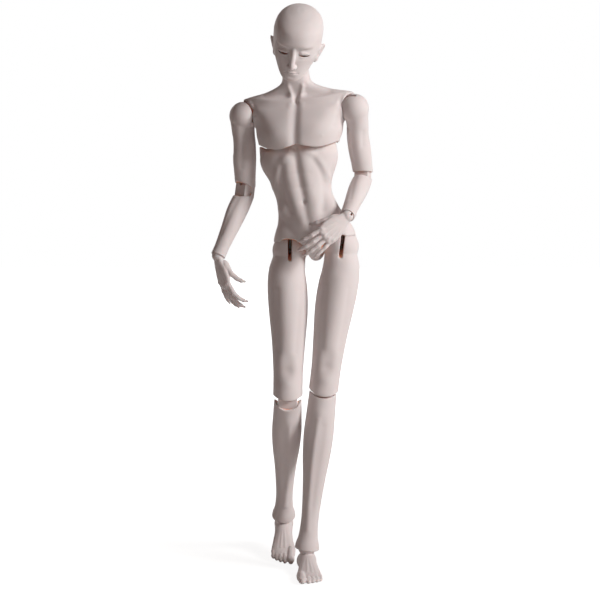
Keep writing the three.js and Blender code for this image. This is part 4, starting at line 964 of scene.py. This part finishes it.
thumb = digit((9.2, -2.4, -13.5), thumb_length, thumb_radius, 16, 18)
hand_forms += [tube(thumb, sides=24, rings=40), oval((7.5, -2.5, -15), (5.5, 4.5, 9), turn=(0, -20, 0))]
hand_marks += [lump((thumb[2][0], thumb[2][1] + 2.4, thumb[2][2]), (2.2, 1.8, 1.8), 0.5),
               lump((thumb[7][0], thumb[7][1] + 2.6, thumb[7][2] + 0.6), (1.7, 1.4, 2.0), -0.5)]
pair("hand", hand_forms, hand_marks, hook_seat(wrist_ball, 75), grain=0.45, smoothing=4)

# %% [markdown]
# The thigh hangs from a large ball with a long slot in front, through which the elastic swings when the
# doll sits. Its lower rim hangs down at the middle and rises at the sides, and the shin's rim below it does
# the same from its side. The muscles are long marks, because short ones would look like dents.

# %% Thighs and knees
thigh_length, knee_half_width = 178, 18.75
thigh_rows = scaled([
    (-1.06, .66, .66, .56, 0, 0), (-1.00, .72, .72, .62, 0, 0), (-.93, .72, .72, .64, 0, 0),
    (-.82, .735, .73, .68, 0, 0), (-.62, .83, .84, .79, 0, .01), (-.43, .95, .94, .93, .03, .02),
    (-.27, .98, .96, 1.00, .09, .03), (-.14, .90, .87, .94, .13, .02),
    (-.035, .79, .73, .75, .02, 0)], thigh_length, half_width=25, half_depth=26.5)
thigh_marks = [
    spot(0, -164, 9, 8, 1.5), spot(-9, -143, 6, 13, 1.5), spot(10, -138, 6, 17, 1.2),
    spot(0, -148, 7, 5, -0.8),
    line([(3, -40), (2, -80), (0, -120)], 9.0, 1.1),
    line([(-14, -50), (-12, -90), (-9, -125)], 4.0, -0.7),
    line([(15, -50), (14, -95), (12, -125)], 4.0, -0.6),
    line([(0, -60), (0, -110), (0, -150)], 4.5, -1.0, BACK),
    line([(-9, -120), (-10, -160)], 3.0, 1.0, BACK), line([(9, -120), (10, -160)], 3.0, 1.0, BACK)]
thigh_cutters = [side_slot(27.5, -35, 126, -1, width=4.6), ball(knot_room)]
thigh_cutters += channel((0, 0, 0), (0, 0, -thigh_length))
thigh_cutters += hinge_end(-thigh_length, knee_lobe, direction=1, facing_down=1, rim_drop=11,
                           limb_width=knee_half_width, rim_rise=4.5)
pair("thigh", [loft(thigh_rows, squareness=2.1), ball(hip_ball)], thigh_marks, thigh_cutters, grain=1.0)
pair("knee", *link_piece(knee_lobe, knee_link, 1), grain=0.55, smoothing=3)

# %% [markdown]
# The shin has a U-shaped rim round the knee piece, a calf behind and the shin bone in front. Its ankle
# isn't right under its knee, so the rows shift sideways as they go down, which bends the loft without a
# modifier. A cuff closes over the foot's ball.

# %% Shins
shin_length, ankle_aside, cuff_bottom = 184, 4.0, -186.8
ankle = np.array((ankle_aside, 0.0, -shin_length))
shin_rows = scaled([
    (-1.05, .85, .74, .78, 0, .02), (-.985, .79, .69, .73, 0, .02), (-.93, .65, .60, .64, 0, .03),
    (-.82, .585, .54, .62, 0, .05), (-.67, .65, .58, .70, 0, .08), (-.52, .77, .66, .85, 0, .10),
    (-.38, .92, .76, 1.00, 0, .10), (-.23, 1.00, .83, 1.03, 0, .06), (-.08, .955, .86, .93, 0, .02),
    (.10, .90, .86, .82, 0, 0)], shin_length, half_width=18.5, half_depth=20)
shin_rows[:, 4] = -ankle_aside * shin_rows[:, 0] / shin_length
shin_marks = [
    line([(-2, -22), (-3, -70), (-1, -120), (2, -160)], 3.4, 1.1), spot(-1, -14, 7, 7, 1.2),
    line([(6, -30), (5, -80), (4, -130)], 4.0, -0.6),
    spot(-8, -62, 7, 26, 1.8, BACK), spot(8, -54, 7, 24, 1.5, BACK),
    line([(0, -40), (1, -95)], 2.6, -1.0, BACK), line([(2, -120), (3, -172)], 3.4, 1.0, BACK)]
shin_cutters = lower_limb_room(ankle) + [socket(ankle_ball, ankle), below(cuff_bottom)]
shin_cutters += hinge_end(0, knee_lobe, direction=1, facing_down=-1, rim_drop=10.8,
                          limb_width=knee_half_width, rim_rise=15.9)
pair("shin", [loft(shin_rows)], shin_marks, shin_cutters, grain=0.9, lip=3.0)

# %% [markdown]
# The foot has to look like a foot and stand like a block. Its arched instep is one tube from heel to toes,
# five small tubes are the toes, and one flat cut gives the sole that the doll stands on. The stops are
# shares again, of the lengths before and behind the ankle, so that the foot can be made longer without
# losing its arch.

# %% Feet
sole, foot_half_width = -30.0, 15.5
heel_length, front_length = 25, 52
foot_stops = []
# Place along the foot, height of its top and its width, from the heel forwards
for along, top, wide in ((1.00, .22, .50), (.86, .50, .70), (.50, .70, .80), (.10, .80, .76),
                         (-.24, .70, .74), (-.55, .52, .86), (-.82, .36, 1.00), (-1.04, .27, .97)):
    thick = -sole * top / 2 + 1.5
    reach = heel_length if along > 0 else front_length
    foot_stops.append((0, along * reach, sole - 3 + thick, foot_half_width * wide, thick))
foot_forms = [tube(foot_stops, sides=64, rings=90, flat_to=(0, 0, 1)), ball(ankle_ball),
              rod((0, 0, 0), (0, 0, sole * 0.5), 8.4)]
foot_marks = [lump((12, -18, -28), (5, 13, 7), 1.0), lump((-15, -22, -27), (5, 12, 6), -1.8),
              lump((0, 22, -20), (8, 6, 8), 0.8)]
print(len(foot_stops), "stops from heel to toes")

# %% [markdown]
# Each toe starts inside the foot, is narrower at its joint and ends in a broader pad. One loop makes all
# five, from where each sits and how long and thick it is. Its nail and its cord are marks again, placed
# from the toe's own stops.

# %% Toes
toe_length, toe_radius, toe_base = 25, 4.4, -46.8
# Place across the foot, length and thickness, from the big toe outwards
for across, long, thick in ((-.62, 1.00, 1.18), (-.14, .92, .86), (.22, .80, .82), (.54, .66, .78),
                            (.82, .48, .74)):
    base = np.array((foot_half_width * across, toe_base, sole + toe_radius * thick * 0.9))
    stops = []
    for reach, rise, wide, tall in ((0, .23, 1, 1), (.45, .23, .82, .86), (.85, 0, .92, .85),
                                    (1.02, -.08, .6, .6)):
        centre = base + (0, -toe_length * long * reach, toe_radius * rise)
        stops.append((*centre, toe_radius * thick * wide, toe_radius * thick * tall))
    foot_forms.append(tube(stops, sides=28, rings=32, flat_to=(0, 0, 1)))
    nail = np.array(stops[2][:3]) + (0, -1.2, 4.0 * thick)
    foot_marks += [lump(nail, (2.2 * thick, 2.4, 1.6), -0.7),
                   line([(base[0] * 0.5, -20, -10), (base[0] * 0.85, -34, -16), (*base[:2], -20)],
                        1.3, 0.5, ROUND)]
foot_cutters = [below(sole)] + hook_seat(ankle_ball, 50)
pair("foot", foot_forms, foot_marks, foot_cutters, grain=0.6, smoothing=5)

# %% [markdown]
# The elastic, hooks, pins and magnets are plain in the real doll too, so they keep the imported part's own
# shapes. A bevel modifier rounds their edges a little. The corners are joined first, because the bevel only
# sees an edge where two faces share it. A modifier can still be changed later, and an edge rounded by hand
# can't.

# %% Inside pieces
def inside_slot(name):
    """The material slot of an inside piece, told by a word in its name."""
    for word, kind in (("magnet", "magnet"), ("hook", "steel"), ("pin", "steel"), ("bar", "steel")):
        if word in name:
            return kind
    return "elastic"


replaced = {name.removesuffix("_cast") for name in (thing.name for thing in casts)}
inside_pieces = {name: thing for name, thing in frame["nodes"].items() if name not in replaced}
for name, thing in inside_pieces.items():
    weld = thing.modifiers.new("joined corners", "WELD")
    weld.merge_threshold = 0.00001
    edge = thing.modifiers.new("rounded edges", "BEVEL")
    edge.width, edge.segments, edge.limit_method = 0.00015, 2, "ANGLE"
    edge.angle_limit = math.radians(40)
print(len(casts), "cast pieces and", len(inside_pieces), "inside pieces")

# %% [markdown]
# A material is a graph of nodes, and most are drawn by hand in the shader editor. Here they are written as
# sums, since 0.54 + 0.1 * cloud says as much as three wired boxes. A Shade stands for one socket, and plus
# and times on shades add the Math nodes that do the work.

# %% Shades
class Shade:
    """One socket of a material's nodes."""

    def __init__(self, tree, socket=None):
        self.tree, self.socket = tree, socket

    def node(self, kind, inputs=None, output=0, **settings):
        """Any node of the same material: its settings, its inputs by name or number, and one output."""
        made = self.tree.nodes.new(kind)
        for name, value in settings.items():
            setattr(made, name, value)
        for name, value in (inputs or {}).items():
            if isinstance(value, Shade):
                self.tree.links.new(value.socket, made.inputs[name])
            else:
                made.inputs[name].default_value = value
        return Shade(self.tree, made.outputs[output]) if len(made.outputs) else None

    def sum(self, operation, *values):
        return self.node("ShaderNodeMath", dict(enumerate(values)), operation=operation)

    def __add__(self, other):
        return self.sum("ADD", self, other)

    def __radd__(self, other):
        return self.sum("ADD", other, self)

    def __mul__(self, other):
        return self.sum("MULTIPLY", self, other)

    def __rmul__(self, other):
        return self.sum("MULTIPLY", other, self)

    def clipped(self, low, high):
        """0 below the low value, 1 above the high one."""
        return self.node("ShaderNodeMapRange", {"Value": self, "From Min": low, "From Max": high})


print("shades can be added, multiplied and clipped")

# %% [markdown]
# Four things come back in each finish: two colours mixed by a pattern, a plain surface to set, a noise
# pattern and a bump. Groups of nodes could hold them, but with a helper for each, a finish takes only a few
# lines.

# %% Parts of a finish
def colour_mix(shade, first, second):
    made = shade.tree.nodes.new("ShaderNodeMix")
    made.data_type = "RGBA"
    shade.tree.links.new(shade.socket, made.inputs[0])
    for place, value in ((6, first), (7, second)):
        if isinstance(value, Shade):
            shade.tree.links.new(value.socket, made.inputs[place])
        else:
            made.inputs[place].default_value = (*value, 1)
    return Shade(shade.tree, made.outputs[2])


def material(name, **constants):
    """A material with a plain surface, its constants set, and a Shade to start from."""
    made = bpy.data.materials.new(name)
    made.use_nodes = True
    surface = made.node_tree.nodes["Principled BSDF"]
    for socket, value in constants.items():
        surface.inputs[socket.replace("_", " ")].default_value = value
    return made, Shade(made.node_tree), surface


def join(shade, surface, socket):
    """Lets a shade drive one of the surface's sockets."""
    shade.tree.links.new(shade.socket, surface.inputs[socket])


def noise(start, place, scale, detail):
    return start.node("ShaderNodeTexNoise", {"Vector": place, "Scale": scale, "Detail": detail})


def bump(start, height, strength, distance):
    return start.node("ShaderNodeBump", {"Height": height, "Strength": strength, "Distance": distance})


print(len(bpy.data.materials), "materials so far")

# %% [markdown]
# The resin is cast, sanded and left bare: pale pink white, almost matt, faintly clouded, with the fine
# tooth of sandpaper. A painted picture of it would blur up close, so noise at three sizes makes clouds,
# flecks and tooth. Light goes a little way in, and a little subsurface scattering keeps the shadows pink.
# Deep in a slot, light that has passed through the cast glows orange. That would take many samples, so the
# inside faces have that colour.

# %% Resin
def resin(name, pale, clouded, depth_of_light):
    made, start, surface = material(name, Subsurface_Weight=depth_of_light, Subsurface_Scale=0.003,
                                    Subsurface_Radius=(1.0, 0.45, 0.35), IOR=1.45, Specular_IOR_Level=0.2)
    place = start.node("ShaderNodeTexCoord", output="Object")
    cloud = noise(start, place, 22, 4)
    fleck = noise(start, place, 260, 2)
    join(colour_mix(cloud.clipped(0.3, 0.7), pale, clouded), surface, "Base Color")
    join(0.54 + 0.1 * cloud + 0.05 * fleck, surface, "Roughness")
    tooth = noise(start, place, 2600, 2)
    join(bump(start, tooth * 0.6 + 0.4 * noise(start, place, 700, 3), 0.16, 0.0002), surface, "Normal")
    return made


pale_resin = resin("pale sanded resin", (0.80, 0.738, 0.735), (0.778, 0.708, 0.702), 0.12)
# Orange for the inside faces: painted glow of light that has come through the resin
glowing_inside_resin = resin("inner resin with painted glow", (0.84, 0.50, 0.38), (0.80, 0.44, 0.32), 0.9)
for thing in casts:
    thing.data.materials[0] = pale_resin
    thing.data.materials[1] = glowing_inside_resin
print("resin on", len(casts), "casts")

# %% [markdown]
# Elastic is a white braid. Each strand could be a curve of its own, but the cord is 3 mm thick and mostly
# hidden, so two wave patterns that cross each other give its weave as a bump, and a darker colour in its
# hollows as painted shade.

# %% Elastic
braid, start, surface = material("braided white elastic", Roughness=0.85, Specular_IOR_Level=0.2)
place = start.node("ShaderNodeTexCoord", output="Object")
strands = [start.node("ShaderNodeTexWave", {"Vector": start.node(
    "ShaderNodeMapping", {"Vector": place, "Rotation": (0.6, turn, 0.3)}), "Scale": 320, "Distortion": 0.4},
    wave_type="BANDS") for turn in (0.8, -0.8)]
weave = strands[0] * strands[1]
# Darker where the weave is low: painted shade in the hollows between the strands
join(colour_mix(weave.clipped(0.05, 0.5), (0.62, 0.58, 0.53), (0.86, 0.83, 0.79)), surface, "Base Color")
join(bump(start, weave, 0.6, 0.0003), surface, "Normal")
print(len(braid.node_tree.nodes), "nodes in", braid.name)

# %% [markdown]
# The hooks are bent from drawn steel wire, which has fine lines along it. A noise stretched in one
# direction draws them, and is easier to control than an anisotropic surface. The magnets are bright plated
# discs with a little haze.

# %% Steel and magnets
wire, start, surface = material("drawn steel wire", Metallic=1.0, IOR=2.0)
place = start.node("ShaderNodeTexCoord", output="Object")
drawn = noise(start, start.node("ShaderNodeMapping", {"Vector": place, "Scale": (900, 900, 40)}), 1, 2)
join(colour_mix(drawn, (0.56, 0.56, 0.57), (0.68, 0.68, 0.69)), surface, "Base Color")
join(0.24 + 0.2 * drawn, surface, "Roughness")

plate, start, surface = material("plated magnet", Metallic=1.0)
place = start.node("ShaderNodeTexCoord", output="Object")
haze = noise(start, place, 500, 3)
join(colour_mix(haze, (0.66, 0.66, 0.64), (0.76, 0.75, 0.73)), surface, "Base Color")
join(0.12 + 0.14 * haze, surface, "Roughness")

for name, thing in inside_pieces.items():
    thing.data.materials.clear()
    thing.data.materials.append({"elastic": braid, "steel": wire, "magnet": plate}[inside_slot(name)])
print(len(bpy.data.materials), "materials")

# %% [markdown]
# The doll stands on white that runs on without a horizon and keeps a faint shadow under the feet. A bare
# white plane would turn grey where the lamps don't reach. So the camera sees the floor glow, a little less
# close to the doll, where a part of its plain surface and the shadow on it show through. To the rays that
# light the doll it is a plain floor.

# %% Floor
def seen_directly(start):
    """1 for the camera and for mirror or glass rays, 0 for the rays that carry the light."""
    seen = start.node("ShaderNodeLightPath", output="Is Camera Ray")
    glossy = start.node("ShaderNodeLightPath", output="Is Glossy Ray")
    clear = start.node("ShaderNodeLightPath", output="Is Transmission Ray")
    rays = seen + glossy + clear
    return rays.sum("MINIMUM", rays, 1.0)


floor_reach = 9.0
corners = [(-floor_reach, -floor_reach, 0), (floor_reach, -floor_reach, 0), (floor_reach, floor_reach, 0),
           (-floor_reach, floor_reach, 0)]
floor = put("floor", (np.array(corners), [[0, 1, 2, 3]]))
ground_white = bpy.data.materials.new("white floor")
ground_white.use_nodes = True
tree = ground_white.node_tree
tree.nodes.clear()
start = Shade(tree)
away = start.node("ShaderNodeVectorMath", {0: start.node("ShaderNodeTexCoord", output="Object"),
                                           1: (0.0, 0.0, 0.0)}, output="Value", operation="DISTANCE")
factor = seen_directly(start) * (0.68 + 0.32 * away.clipped(0.1, 0.9))
lit = start.node("ShaderNodeBsdfDiffuse", {"Color": (0.82, 0.81, 0.80, 1)})
white = start.node("ShaderNodeEmission", {"Color": (1, 1, 1, 1), "Strength": 1.32})
mixed = start.node("ShaderNodeMixShader", {0: factor, 1: lit, 2: white})
start.node("ShaderNodeOutputMaterial", {"Surface": mixed})
floor.data.materials.append(ground_white)
print("floor", 2 * floor_reach, "m wide")

# %% [markdown]
# The surround is white for the camera in the same way. The light that it casts on the doll is dim and warm,
# as walls and table give back: a white surround would fill every shadow.

# %% Surround
world = bpy.data.worlds.new("studio")
bpy.context.scene.world = world
world.use_nodes = True
world.node_tree.nodes.clear()
start = Shade(world.node_tree)
dim = start.node("ShaderNodeBackground", {"Color": (0.092, 0.062, 0.053, 1), "Strength": 1.0})
bright = start.node("ShaderNodeBackground", {"Color": (1, 1, 1, 1), "Strength": 1.0})
mixed = start.node("ShaderNodeMixShader", {0: seen_directly(start), 1: dim, 2: bright})
start.node("ShaderNodeOutputWorld", {"Surface": mixed})
print("surround", world.name)

# %% [markdown]
# One large soft lamp stands in front on the doll's left and models the muscles. A weak one behind on the
# right keeps the dark sides from going black. Area lamps are used, because their size sets how soft the
# shadows are.

# %% Lamps
def lamp(name, turn, lift, distance, size, watts, colour):
    """An area lamp that faces the doll: degrees from the front to the viewer's right, and upwards."""
    middle = stand / 1000 + np.array((0, 0, 0.35))
    turn, lift = math.radians(turn), math.radians(lift)
    aim = np.array((math.sin(turn) * math.cos(lift), -math.cos(turn) * math.cos(lift), math.sin(lift)))
    light = bpy.data.lights.new(name, "AREA")
    light.shape, light.size, light.energy, light.color = "DISK", size, watts, colour
    thing = bpy.data.objects.new(name, light)
    thing.location = middle + aim * distance
    thing.rotation_euler = Vector(aim).to_track_quat("Z", "Y").to_euler()
    bpy.context.scene.collection.objects.link(thing)
    print(name, watts, "W")


lamp("large soft lamp", turn=58, lift=26, distance=2.2, size=0.8, watts=38.5, colour=(1.0, 0.985, 0.97))
lamp("weak lamp behind", turn=215, lift=20, distance=2.2, size=1.2, watts=5, colour=(1.0, 0.93, 0.9))
bpy.context.scene.view_settings.view_transform = "Standard"
